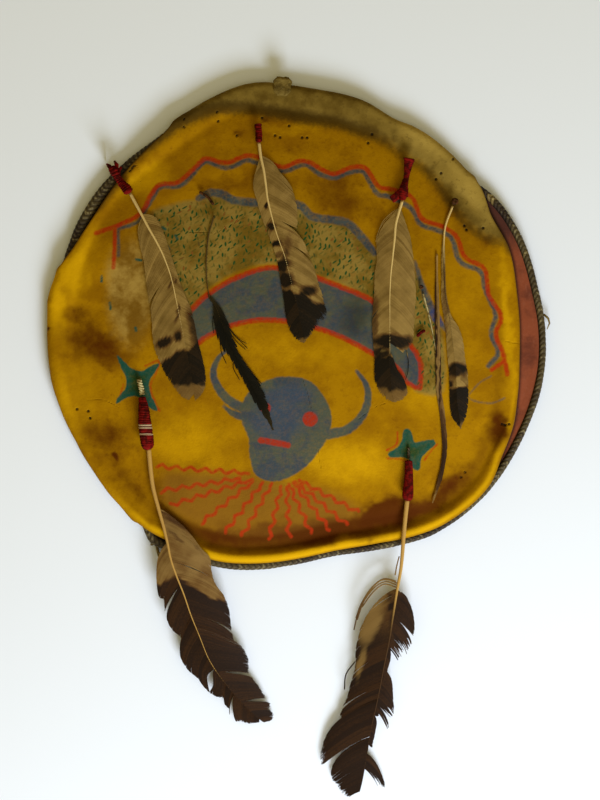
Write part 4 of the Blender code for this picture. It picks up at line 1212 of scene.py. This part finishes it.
def past(points, line, soft):
    """1 below this line across the feather and 0 above it."""
    if not line:
        return np.zeros(len(points))
    x, y = in_picture(*points.T[:2])
    off = y - np.interp(x, *np.array(line, float).T) + 2.0 * wobble(x, y, 3.5, 33)
    return ease(-soft, soft, off)


def feather_finish(name, vane_pale, vane_deep, dark, fringe, shaft_pale, shaft_dark, gloss, streaky):
    """Barbs streaked from pale to deep, with dark marks that fade through brown, and a horny shaft."""
    made = Finish(name, roughness=gloss, specular=0.08)
    streak = made.tone("luck")
    fine = made.noise(0.0016, 3.0, 0.6)
    deep_part = (streak * 0.45 + made.noise(0.012, 3.0, 0.5) * 0.8).rise(0.30, 1.0)
    plain = made.mix(vane_pale, vane_deep, deep_part)
    plain = made.mix(plain, vane_deep, fine.rise(0.5, 0.8) * 0.3)
    depth = made.tone("dark") + (fine - 0.5) * 0.3 + (streak - 0.5) * 0.5 * (1 - made.tone("dark"))
    fringed = made.mix(plain, fringe, depth.rise(0.05, 0.50) * 0.85)
    dark_part = made.mix(dark, fringe, (streak + fine).rise(0.75, 1.5) * streaky)
    bars = made.mix(fringed, dark_part, depth.rise(0.40, 0.90) * 0.97)
    faded = (made.tone("tip") + (streak - 0.5) * 0.4).rise(0.15, 0.85)
    bars = made.mix(bars, made.mix(fringe, plain, 0.35), faded)
    bars = made.mix(bars, vane_pale, (made.tone("bleached") + (streak - 0.5) * 0.3).rise(0.2, 1.0) * 0.8)
    horn = made.mix(shaft_pale, shaft_dark, (made.tone("shaft_end") + (fine - 0.5) * 0.3).rise(0.0, 1.0))
    made.colour(made.mix(bars, horn, made.tone("shaft")))
    made.relief(fine * 0.5 + streak * 0.5, 0.0003)
    return made


def new_feather(
    node, stations, lobes, quill_radius, finish, slot, lean=1.1, ragged=0.05, closing=0.06, camber=0.10,
    splits=(), marks=(), bleached=(), dark_from=(), faded_from=(), strands=(), strand_radius=0.0003,
    horn=(0.55, 0.85), seed=1,
):
    """A whole feather. A station is a place on its middle line and how far its vane goes left and right."""
    shaft = Shaft(stations, quill_radius)
    drawn_shaft = shaft.along[shaft.along < 0.97 * shaft.long]
    share = drawn_shaft / shaft.long
    thin = np.interp(share, (0, 0.2, 0.4, 0.6, 0.9), (1.15, 1.0, 0.65, 0.45, 0.3))
    shapes = [tube(shaft.place(drawn_shaft, 0.0), shaft.radius[:len(drawn_shaft)] * thin, SHAFT_SIDES)]
    quill = len(shapes[0][0])
    vane_points, vane_faces, vane_luck = vane(shaft, lobes, lean, ragged, closing, camber, splits, seed)
    shapes.append((vane_points, vane_faces))
    for strand in strands:
        shapes.append(tube(shaft.place(*shaft.foot(drawn(strand, spacing=2.0))), strand_radius, 4))
    points, faces = joined(shapes)
    plain = len(points) - quill - len(vane_points)
    shaft_end = np.repeat(ease(*horn, share), SHAFT_SIDES)
    tones = {
        "luck": np.concatenate((np.zeros(quill), vane_luck, np.full(plain, 0.3))),
        "dark": np.maximum(marked(points, marks), past(points, dark_from, 3.0)),
        "tip": past(points, faded_from, 5.0),
        "bleached": marked(points, bleached),
        "shaft": np.concatenate((np.ones(quill), np.zeros(len(points) - quill))),
        "shaft_end": np.concatenate((shaft_end, np.zeros(len(points) - quill))),
    }
    return new_piece(node + "_finished", points, faces, finish, slot, [node], tones)


HAWK_LEFT = (
    (130, 193, 1, 1), (141, 213, 1, 1), (149, 228, 4, 4), (157, 242, 12, 6), (164, 256, 18, 7),
    (172, 278, 23, 9), (178, 305, 26, 12), (184, 334, 29, 13), (189, 359, 28, 14), (193, 380, 22, 14),
    (195, 393, 14, 9), (196, 401, 4, 3),
)
HAWK_CENTRE = (
    (259, 143, 1, 1), (261, 158, 2, 3), (264, 172, 6, 14), (266, 186, 11, 23), (268, 201, 12, 28),
    (275, 229, 10, 28), (280, 244, 9, 25), (285, 258, 9, 23), (293, 290, 9, 21), (298, 310, 10, 24),
    (301, 325, 10, 20), (303, 336, 6, 10), (304, 343, 2, 2),
)
HAWK_RIGHT = (
    (402, 201, 1, 1), (398, 214, 2, 2), (395, 226, 8, 6), (394, 238, 16, 14), (392, 257, 17, 19),
    (390, 276, 16, 24), (389, 297, 15, 26), (389, 318, 15, 27), (389, 337, 16, 23), (389, 352, 16, 17),
    (389, 368, 15, 9), (390, 382, 14, 12), (391, 393, 10, 13), (393, 401, 5, 8),
)
HAWK_NARROW = (
    (452.5, 206, 1, 1), (445, 226, 1, 1), (443, 244, 1, 2), (443, 270, 2, 2), (444, 292, 2, 2),
    (446, 307, 2, 3), (449, 322, 3, 6), (452, 345, 5, 10), (455, 372, 7, 11), (456, 397, 8, 9),
    (458, 413, 7, 7), (460, 428, 1, 1),
)
EDGE_ON = (
    (436, 254, 1, 1), (436, 300, 2, 2), (437, 345, 3, 3), (438, 391, 3, 3), (442, 420, 3, 3),
    (444, 448, 3, 3), (442, 467, 3, 3), (438, 485, 3, 3), (432, 504, 1, 1),
)
SMALL_BLACK = (
    (215, 216, 1, 1), (212, 226, 4, 4), (209, 238, 1, 1), (207, 268, 1, 1), (210, 296, 1, 1),
    (218, 311, 4, 5), (224, 328, 7, 8), (231, 347, 8, 8), (241, 366, 8, 8), (253, 389, 7, 7),
    (264, 408, 5, 5), (273, 430, 1, 1),
)
PLUME_STEM = ((422, 294, 1, 1), (427, 312, 1, 1), (431, 330, 1, 1), (433, 341, 1, 1))
LONG_LEFT = (
    (149, 447, 2, 2), (153, 484, 2, 2), (159, 508, 2, 4), (164, 526, 3, 17), (168, 543, 5, 31),
    (171, 558, 9, 37), (177, 576, 17, 36), (184, 594, 22, 36), (191, 615, 23, 38), (199, 635, 20, 35),
    (209, 660, 25, 37), (222, 680, 22, 32), (240, 702, 15, 25), (255, 717, 11, 15), (266, 726, 3, 3),
)
LONG_RIGHT = (
    (407, 498, 2, 2), (404, 528, 2, 2), (401, 566, 2, 2), (397, 590, 7, 4), (393, 616, 25, 19),
    (389, 642, 31, 24), (385, 662, 31, 13), (381, 684, 31, 12), (377, 704, 36, 16), (371, 732, 44, 16),
    (367, 757, 45, 15), (364, 775, 36, 17), (361, 790, 20, 17), (359, 797, 8, 8),
)

hawk = feather_finish(
    "barred_feather", srgb(154, 124, 66), srgb(112, 86, 38), srgb(17, 14, 8), srgb(92, 62, 28),
    srgb(206, 176, 112), srgb(60, 44, 24), gloss=0.6, streaky=0.12,
)
eagle = feather_finish(
    "dark_feather", srgb(136, 106, 58), srgb(98, 66, 28), srgb(34, 22, 16), srgb(74, 46, 22),
    srgb(178, 138, 72), srgb(70, 48, 28), gloss=0.5, streaky=0.45,
)
black = feather_finish(
    "black_feather", srgb(60, 50, 24), srgb(34, 28, 14), srgb(14, 13, 8), srgb(40, 32, 14),
    srgb(74, 56, 28), srgb(96, 76, 42), gloss=0.5, streaky=0.2,
)
new_feather(
    "barred_feather_left", HAWK_LEFT, (
        (0.1, (143, 218), (139, 230), (140, 243), (144.7, 263), (148, 291), (152, 316), (155, 349),
         (161, 364), (168, 379), (176, 390.5), (184.5, 398.8), (190, 400)),
        (0.1, (145, 216), (156, 218), (163, 229.6), (171, 253), (179.6, 279), (186, 296), (192.8, 312.5),
         (199.5, 344), (204.5, 362), (207, 379), (206, 388), (202, 396), (196, 400)),
    ),
    HAWK_QUILL_RADIUS, hawk, "barred_feather", seed=41,
    marks=(
        (165, 343, 9, 4, 24), (179.5, 336.5, 3, 6, 0), (197, 331, 7, 28, 12, 0.75),
        (171.5, 284, 1.6, 5, -20, 0.8), (177, 282, 1.2, 1.6, 0, 0.6), (179, 313, 1.4, 10, -8, 0.8),
    ),
    bleached=((181, 347, 2.4, 2.4, 0), (188, 396, 8, 4, 0, 0.35)),
    splits=((-1, 120, 3, 0), (1, 140, 2, 0)),
    dark_from=((158, 366), (163, 363), (173, 355.6), (183, 349), (190, 351.5), (197, 344), (201, 330)),
    faded_from=((160, 385), (171, 386), (183, 385), (196, 385), (206, 384)),
)
new_feather(
    "barred_feather_centre", HAWK_CENTRE, (
        (0.15, (260, 158), (257, 170), (254.3, 179), (253.4, 188), (257, 202), (263, 222), (272, 245),
         (277.5, 263), (281, 284), (284, 302), (287.3, 325), (293, 337), (299, 342), (304, 343.5)),
        (0.2, (261, 157), (267, 160), (274, 165), (281, 175.4), (291.8, 189.6), (296.3, 204), (298, 218),
         (298.5, 234), (304, 243), (308, 254), (313, 266), (318.6, 284), (324, 302), (326.6, 316),
         (318, 326), (310, 337), (304, 343)),
    ),
    HAWK_QUILL_RADIUS, hawk, "barred_feather", seed=42, closing=0.12,
    marks=(
        (266.3, 207.5, 2, 4, 0), (271.5, 228, 4, 4, -30), (276, 245, 6, 3.6, 30),
        (279, 256, 6, 3, 25, 0.6), (282, 267, 8, 6, 20), (286, 281, 8, 9, 10), (309, 292, 9, 6, 10, 0.9),
        (283, 268, 4, 30, -12, 0.7),
    ),
    bleached=((311, 304, 3, 2, 0, 0.4), (304, 248, 5, 8, 0)),
    splits=((1, 100, 4, 0), (1, 130, 3, 0), (-1, 90, 2, 0)),
    dark_from=((280, 291), (290, 291), (296, 295), (304, 292), (311, 302), (320, 304), (330, 304)),
    faded_from=((286, 346), (300, 341), (318, 330), (330, 320)),
)
new_feather(
    "barred_feather_right", HAWK_RIGHT, (
        (0.2, (400, 208), (394.5, 212.5), (384.6, 225), (376.6, 239), (375.5, 252), (376, 262),
         (374, 275), (373.5, 293), (371.5, 319), (372, 340), (373.5, 361), (374, 382), (378.4, 393),
         (385, 399.5), (392, 402)),
        (0.1, (400, 210), (405, 225), (409.6, 239), (412, 256), (414, 275), (415, 300), (413.4, 328),
         (412, 343), (408, 352), (402, 357)),
        (0.2, (393, 358), (397, 371), (403, 380), (407, 394), (402, 400), (394, 402)),
    ),
    HAWK_QUILL_RADIUS, hawk, "barred_feather", seed=43, closing=0.10,
    marks=((391, 342, 24, 7, 0), (373, 320, 5, 26, 0, 0.6), (380, 353, 12, 6, 0, 0.85)),
    bleached=((396, 349, 2.6, 2.4, 0), (383, 351, 3, 2, 0, 0.6)),
    splits=((1, 158, 4, 0), (-1, 120, 2, 0)), horn=(0.72, 0.8),
    dark_from=((370, 355), (380, 356), (400, 357), (410, 358)),
    faded_from=((370, 389), (390, 391), (410, 390)),
    strands=(
        ((401, 208), (392, 213), (382, 223), (376, 238)),
        ((400, 209), (389, 217), (379, 230), (375, 243)),
        ((406, 352), (407.5, 362), (407, 372), (404.5, 380)),
    ),
)
new_feather(
    "narrow_barred_feather", HAWK_NARROW, (
        (0.1, (443, 236), (441, 250), (440.6, 280), (440.4, 300), (442, 312), (444.5, 328.6),
         (446.3, 355), (448, 373), (448.7, 400), (450.5, 416), (455, 423), (460, 428)),
        (0.1, (444, 240), (444.4, 270), (445, 290), (447, 304), (451, 318), (458, 329), (462.3, 343),
         (464.5, 361), (467, 374), (467.8, 400), (466, 415), (462.5, 423), (460.5, 428)),
    ),
    SMALL_QUILL_RADIUS, hawk, "barred_feather", seed=44, closing=0.2,
    marks=((456, 370, 13, 6.5, 5), (450, 384, 3, 4, 0), (445, 300, 4, 60, -4, 0.45)), horn=(0.10, 0.35),
    bleached=((457.5, 379, 2.4, 3, 0, 0.8),),
    dark_from=((445, 386), (452, 388), (468, 387)), faded_from=((440, 424), (470, 424)),
)
new_feather(
    "edge_on_feather", EDGE_ON, (
        (0.3, (435.8, 258), (434.2, 300), (434.6, 345), (435.4, 391), (439.4, 417), (441.6, 448),
         (440, 467), (436, 485), (432, 503)),
        (0.3, (436.2, 258), (438, 300), (439.6, 345), (441, 391), (444.6, 417), (446.8, 448),
         (444.4, 467), (440, 485), (432.2, 503)),
    ),
    SMALL_QUILL_RADIUS, eagle, "dark_feather", seed=45, lean=6.0, ragged=0.3, horn=(-0.4, 0.6),
    marks=((434.4, 330, 1.6, 90, 0, 0.9), (440.4, 345, 1.2, 90, -2, 0.9), (440, 452, 9, 50, 5, 0.8)),
    bleached=((437.6, 340, 1.6, 90, -1),),
)
new_feather(
    "small_black_feather", SMALL_BLACK, (
        (0.1, (214, 300), (215, 311), (215.5, 326), (218.4, 340), (224.4, 352), (231.3, 362),
         (241.6, 378), (250, 395), (259, 409), (267.5, 421), (274, 430)),
        (0.1, (216, 302), (224, 312.5), (229, 323), (235, 338), (240, 352), (248.5, 366), (259, 380),
         (266, 392), (269, 404), (271, 414), (274, 430)),
    ),
    THIN_QUILL_RADIUS, black, "dark_feather", seed=46, lean=2.6, ragged=0.45, closing=0.5, camber=0.3,
    horn=(0.4, 0.6),
    marks=((240, 365, 60, 66, 0),),
    strands=(
        ((222, 315), (231, 330), (240, 340), (247, 344)),
        ((226, 322), (234, 335), (242, 343), (248, 349)), ((228, 330), (238, 343), (246, 350)),
        ((222, 340), (222, 352), (227, 364)), ((236, 356), (234, 368), (240, 380)),
        ((216, 312), (213.6, 322), (214.5, 334)), ((243, 366), (255, 377), (262, 384)),
    ),
)
new_feather(
    "long_feather_left", LONG_LEFT, (
        (0.1, (166, 545), (161, 552), (157.5, 563), (157, 580), (159.4, 597), (164, 600), (165, 607),
         (167, 620), (172, 630), (181, 638.5), (180, 646), (180, 655), (182.4, 663), (190, 673),
         (197.7, 679.3), (204, 688.3), (211, 695), (218, 698.5), (223.5, 699.5), (225, 706), (231, 713),
         (233.4, 720.5), (241, 722.5), (250, 725), (259, 724)),
        (0.1, (160, 509), (166, 512), (178.6, 522), (190, 533), (201.5, 548), (210.5, 558),
         (212.5, 573.5), (217, 586), (224.5, 596.4), (229, 609), (232, 629), (234, 640), (242.3, 647.4),
         (248.7, 660), (250.5, 675.5), (258, 686), (265.3, 696), (269, 703.6), (268.6, 710), (273, 715.5),
         (271.5, 721.5), (264, 723)),
    ),
    EAGLE_QUILL_RADIUS, eagle, "dark_feather", seed=47, lean=1.0, ragged=0.04, closing=0.05,
    horn=(0.7, 0.85),
    marks=((176, 520, 15, 4, -36, 0.5), (176, 536, 13, 1.6, -40, 0.45), (198, 548, 10, 1.5, -50, 0.4)),
    bleached=(
        (196, 562, 9, 20, -20, 0.7), (172, 566, 3, 12, 0, 0.5), (206, 592, 4, 14, 20, 0.3),
        (190, 545, 9, 12, -30, 0.6),
    ),
    dark_from=(
        (150, 584), (163, 583), (172, 577), (180, 577), (190, 585), (201, 592), (211, 598), (230, 602),
    ),
    splits=(
        (1, 150, 0, 1), (-1, 165, 3, 1), (1, 205, 2, 0), (-1, 250, 0, 5), (1, 262, 3, 1), (-1, 282, 4, 1),
        (1, 296, 4, 1),
    ),
)
new_feather(
    "long_feather_right", LONG_RIGHT, (
        (0.1, (396, 589), (381.6, 598), (369, 612), (360, 629.6), (355.6, 650), (354.8, 665), (350, 686),
         (346, 701), (340.8, 712), (338.3, 724), (329.3, 732), (323, 744.4), (319.4, 760), (320, 770)),
        (0.4, (366, 741), (351, 749), (340, 757), (335, 763), (331, 772.4), (332, 781.4), (337, 787),
         (340, 793), (347, 799), (354, 796), (360, 791)),
        (0.9, (399, 592), (409.7, 604), (414.3, 622), (413.5, 637), (409.7, 647.4), (404.6, 657.7),
         (398, 661)),
        (0.6, (391, 648), (390.5, 660), (387.5, 672), (386, 684)),
        (0.7, (387, 672), (392, 682), (393.5, 701), (394, 714), (391.5, 722), (388, 728)),
        (0.5, (379, 716), (377, 725), (375, 736), (372.5, 750)),
        (0.7, (369, 757), (376, 765), (382, 777), (385.5, 790), (378, 788)),
    ),
    EAGLE_QUILL_RADIUS, eagle, "dark_feather", seed=48, lean=0.95, ragged=0.06, closing=0.08,
    horn=(0.25, 0.5), strand_radius=0.0006,
    marks=((368, 720, 70, 112, -10), (404, 625, 16, 42, 0), (392, 610, 3, 20, 12)),
    bleached=(
        (371, 622, 10, 26, -20), (361, 662, 4, 22, -12, 0.8), (380, 602, 12, 7, 20, 0.5),
        (392, 606, 6, 12, 0, 0.25),
    ),
    splits=((-1, 120, 0, 1), (-1, 185, 1, 0), (-1, 222, 2, 0), (1, 140, 4, 0), (1, 225, 5, 0)),
    strands=(
        ((397, 583), (388, 579.5), (379, 581), (366.5, 596), (357.5, 615), (354, 630)),
        ((397, 585), (386, 581.5), (376, 586), (364, 601), (357, 620)),
        ((396, 587), (384, 584), (373, 592), (362, 607)),
        ((396, 581), (384, 578.5), (372, 587), (361, 604), (356, 618)),
        ((401, 592), (406, 597), (409, 604)), ((355, 662), (346, 675), (344.5, 690)),
        ((399, 556), (396.5, 566), (395, 575)), ((390, 640), (394, 650), (399, 657)),
        ((391, 637), (397, 646), (402, 650)),
    ),
)

# The plume stem
# The bare quill of a lost plume, horn gone pale and dry. It is tied on beside the right feather by its
# own knot.
stem = Shaft(PLUME_STEM, SMALL_QUILL_RADIUS)
stem_points, stem_faces = tube(stem.place(stem.along, 0.0), stem.radius, SHAFT_SIDES)
pale_thread = Finish("pale_thread", roughness=0.7, specular=0.1)
grubby = pale_thread.noise(0.004, 3.0).rise(0.42, 0.66)
pale_thread.colour(pale_thread.mix(srgb(178, 164, 116), srgb(112, 92, 50), grubby))
pale_thread.relief(pale_thread.noise(0.0008, 3.0), 0.0003)
new_piece("plume_stem_finished", stem_points, stem_faces, pale_thread, "pale_thread", ["plume_stem"])

# The cloth wraps and the ties
# Strips of red trade cloth or wool wound round the head of each quill and sewn down through the cover
# with thongs. Painted shade darkens the wool in the creases between its turns, and it is frayed at its
# ends.
WRAP_LEFT = ((111, 168, 0.0034), (116, 174, 0.0044), (120, 181, 0.0036))
WRAP_CENTRE = ((258, 125, 0.0036), (259, 133, 0.0032))
WRAP_RIGHT = ((409, 159, 0.0058), (408, 165, 0.0042), (406, 178, 0.0027), (403, 190, 0.0040))
WRAP_LONG_LEFT = ((143, 397, 0.0034), (145, 410, 0.0052), (146, 424, 0.0062))
WRAP_LONG_RIGHT = ((408, 460, 0.0034), (408, 478, 0.0042))
LEFT_TAILS = (
    ((113, 171, 2.4), (109, 166, 2.0), (105.5, 162.5, 0.8)),
    ((116, 171, 2.4), (117, 165, 2.2), (114.5, 161, 0.9)), ((118, 173, 2.2), (121.5, 167, 1.2)),
)
RIGHT_TAILS = (((404, 189, 3.2), (398, 196, 4.2), (391, 201, 3.6)), ((405, 189, 3.0), (405, 198, 2.6)))
WRAP_OVERHANG = 0.006
TURN_PITCH = 0.0021
WINDING_SIDES = 16
TAIL_FLATNESS = 0.4
TAIL_LIFT = 0.001


def highest_under(x, y, reach):
    """The highest ground within reach of a round piece's middle."""
    spots = [(x + cos(k * pi / 4) * reach, y + sin(k * pi / 4) * reach) for k in range(8)] + [(x, y)]
    return max(float(face_height(*spot)) for spot in spots)


def laid_route(places, overhang=0.0):
    """3-D points and radii of a round piece that lies on what is under it, from (x, y, radius)."""
    route = []
    for *place, radius in places:
        x, y = at(place)[:2]
        route.append((x, y, highest_under(x, y, radius + overhang) + LAY_GAP + radius, radius))
    return route


def wound(route, pitch, depth, seed, lean=0.25, flat=1.0):
    """A tube wound with thread or cloth: its turns stand out as slanting ridges."""
    route = np.array(route)
    length = run_length(route[:, :3])
    steps = max(int(length[-1] / pitch * 8), 12)
    along = np.linspace(0, length[-1], steps)
    line = np.stack([smooth_curve(list(zip(length, route[:, k])), along) for k in range(4)], -1)
    corner = np.arange(WINDING_SIDES) / WINDING_SIDES
    phase = along[:, None] / pitch + lean * np.cos(2 * pi * corner)[None, :]
    phase = phase + 0.5 * wobble(along / pitch * 0.7, 0 * along, 1.0, seed + 1)[:, None]
    ridge = np.abs(np.sin(pi * phase))
    uneven = wobble(phase, corner[None, :] * 6 + 0 * phase, 1.0, seed)
    dents = 1 - depth * (1 - ridge) + 0.5 * depth * uneven
    dents *= np.clip(np.minimum(np.arange(steps), np.arange(steps)[::-1]) / 3 + 0.55, 0, 1)[:, None]
    points, faces = tube(line[:, :3], line[:, 3], WINDING_SIDES, dents, flat)
    return points, faces, ridge.reshape(-1)


red_wool = Finish("red_wool", roughness=0.95, specular=0.03)
wool = red_wool.mix(srgb(112, 18, 14), srgb(60, 12, 9), red_wool.noise(0.004, 3.0).rise(0.36, 0.62))
# Painted shade: the wool goes dark in the creases between its turns.
unshaded_ridge = (red_wool.tone("crown") + red_wool.noise(0.002, 2.0) * 0.4).rise(0.1, 0.7)
wool = red_wool.mix(srgb(38, 8, 6), wool, unshaded_ridge)
wool = red_wool.mix(wool, srgb(140, 70, 50), red_wool.noise(0.0009, 3.0).rise(0.6, 0.8) * 0.3)
red_wool.colour(red_wool.mix(wool, srgb(172, 150, 118), red_wool.tone("thread") * 0.9))
red_wool.relief(red_wool.noise(0.0008, 4.0, 0.6), 0.0004)


def new_wrap(
    node, places, feather, seed, overhang=0.0, depth=0.12, flat=1.0, neck=None, tails=(), threads=(),
):
    """A cloth wound round a quill's head. Its tails stick out and threads are where one shows pale."""
    head = feather[0]
    last = places[-1]
    neck = neck or last[2]
    near_head = [last[k] + (head[k] - last[k]) * 0.86 for k in range(2)]
    places = [*places, (*near_head, neck), (*head[:2], neck * 0.8)]
    points, faces, ridge = wound(laid_route(places, overhang), TURN_PITCH, depth, seed, flat=flat)
    shapes = [(points, faces)]
    for tail in tails:
        half_heights = [(x, y, half_width * PIXEL * TAIL_FLATNESS) for x, y, half_width in tail]
        route = np.array(laid_route(half_heights, overhang))
        middle = route[:, :3] + (0, 0, TAIL_LIFT)
        shapes.append(tube(middle, route[:, 3] / TAIL_FLATNESS, 10, flat=TAIL_FLATNESS))
    points, faces = joined(shapes)
    down = in_picture(*points.T[:2])[1]
    thread = np.max([1 - ease(0.5, 1.1, np.abs(down - row)) for row in threads] + [0 * down], axis=0)
    # Painted shade in the creases between the turns, and a little on the tails.
    crown = np.concatenate((ridge, np.full(len(points) - len(ridge), 0.6)))
    tones = {"crown": np.maximum(crown, 1 - depth * 8), "thread": thread}
    return new_piece(node + "_finished", points, faces, red_wool, "red_cloth", [node], tones)


new_wrap(
    "cloth_wrap_left", WRAP_LEFT, HAWK_LEFT, 51, WRAP_OVERHANG, depth=0.2, neck=0.0048, tails=LEFT_TAILS,
)
new_wrap("cloth_wrap_centre", WRAP_CENTRE, HAWK_CENTRE, 52)
new_wrap(
    "cloth_wrap_right", WRAP_RIGHT, HAWK_RIGHT, 53, depth=0.10, flat=0.7, neck=0.0034, tails=RIGHT_TAILS,
)
new_wrap("cloth_wrap_long_left", WRAP_LONG_LEFT, LONG_LEFT, 54, depth=0.08, threads=(425, 427.5, 434))
new_wrap("cloth_wrap_long_right", WRAP_LONG_RIGHT, LONG_RIGHT, 55, depth=0.03, neck=0.0052)

THONG_RADIUS = 0.0013
THREAD_COIL_RADIUS = 0.0026
TUFT_RADIUS = 0.0016
KNOT_RADIUS = 0.0038
SMALL_KNOT_RADIUS = 0.0023
THONG_SMALL_BLACK = ((200, 193), (208, 198), (214, 206))
THREAD_LONG_LEFT = ((140, 379), (142, 388), (143, 395))
TIE_LONG_RIGHT = ((408, 447), (408, 453), (408, 458))
TUFT = ((424, 331), (420, 333), (416, 337))


def new_string(node, places, radius, finish, slot, seed, pitch=0.0030, depth=0.2):
    """A twisted thong or thread along places in the picture."""
    route = laid_route([(*place, radius) for place in places])
    points, faces, ridge = wound(route, pitch, depth, seed, lean=0.5)
    # The crest tone gives painted shade between the twists.
    tones = {"crown": 0.5 + 0.4 * ridge, "luck": 0.3 + 0 * ridge, "thread": 0 * ridge}
    return new_piece(node + "_finished", points, faces, finish, slot, [node], tones)


brown_thong = Finish("brown_thong", roughness=0.8, specular=0.06)
thong_dark = brown_thong.noise(0.0025, 3.0, 0.6).rise(0.4, 0.6)
brown_thong.colour(brown_thong.mix(srgb(80, 46, 20), srgb(38, 24, 12), thong_dark))
new_string("thong_small_feather", THONG_SMALL_BLACK, THONG_RADIUS, brown_thong, "dark_lacing", 61)
new_string(
    "thread_coil_left", THREAD_LONG_LEFT, THREAD_COIL_RADIUS, pale_thread, "pale_thread", 62,
    pitch=0.0024, depth=0.35,
)
new_string("tie_long_right", TIE_LONG_RIGHT, THONG_RADIUS, dark_lacing, "dark_lacing", 63)
new_string("red_tuft", TUFT, TUFT_RADIUS, red_wool, "red_cloth", 64)


def new_knot(node, place, radius):
    """A knot of thong: three turns pulled into a lump."""
    x, y = at(place)[:2]
    turns = np.linspace(0, 3 * 2 * pi, 90)
    swing = radius * 0.62
    up = highest_under(x, y, radius) + LAY_GAP + radius
    line = np.stack((
        x + swing * np.cos(turns) * np.cos(turns / 3), y + swing * np.sin(turns) * 0.8,
        up + swing * 0.75 * np.cos(turns) * np.sin(turns / 3 + 0.5),
    ), -1)
    points, faces = tube(line, radius * 0.36, 8)
    tones = {"crown": np.full(len(points), 0.35), "luck": np.full(len(points), 0.0)}
    return new_piece(node + "_finished", points, faces, brown_thong, "dark_lacing", [node], tones)


new_knot("knot_narrow_feather", (454, 202), KNOT_RADIUS)
new_knot("knot_plume", (420, 288), SMALL_KNOT_RADIUS)

# The thong loop
# A short stiff end of the lacing that stands out from the lower left of the rim and lies on the floor.
LOOP = ((155, 538), (155, 544), (157, 552), (160, 560), (166, 564), (173, 561), (176, 554))
LOOP_HEIGHT = 0.0035
loop_places = [at(place)[:2] for place in LOOP]
for k in (0, len(LOOP) - 1):
    way = float(np.degrees(np.arctan2(loop_places[k][1], loop_places[k][0])))
    lap = ease(0, LAP_REACH, cover_radius(way) - rim_radius(way))
    wall_here = max(float(rim_radius(way)), float(cover_radius(way) * lap)) + THONG_RADIUS + GAP
    loop_places[k] = loop_places[k] / np.linalg.norm(loop_places[k]) * wall_here
loop_heights = [LOOP_HEIGHT] + [THONG_RADIUS + GAP] * (len(LOOP) - 2) + [LOOP_HEIGHT]
loop_route = [(x, y, up, THONG_RADIUS) for (x, y), up in zip(loop_places, loop_heights)]
loop_points, loop_faces, loop_ridge = wound(loop_route, 0.004, 0.15, 71)
# The crest tone gives painted shade between the twists of the loop.
new_piece(
    "thong_loop_finished", loop_points, loop_faces, dark_lacing, "dark_lacing", ["thong_loop"],
    {"crown": 0.6 + 0.4 * loop_ridge, "luck": 0.8 + 0 * loop_ridge},
)
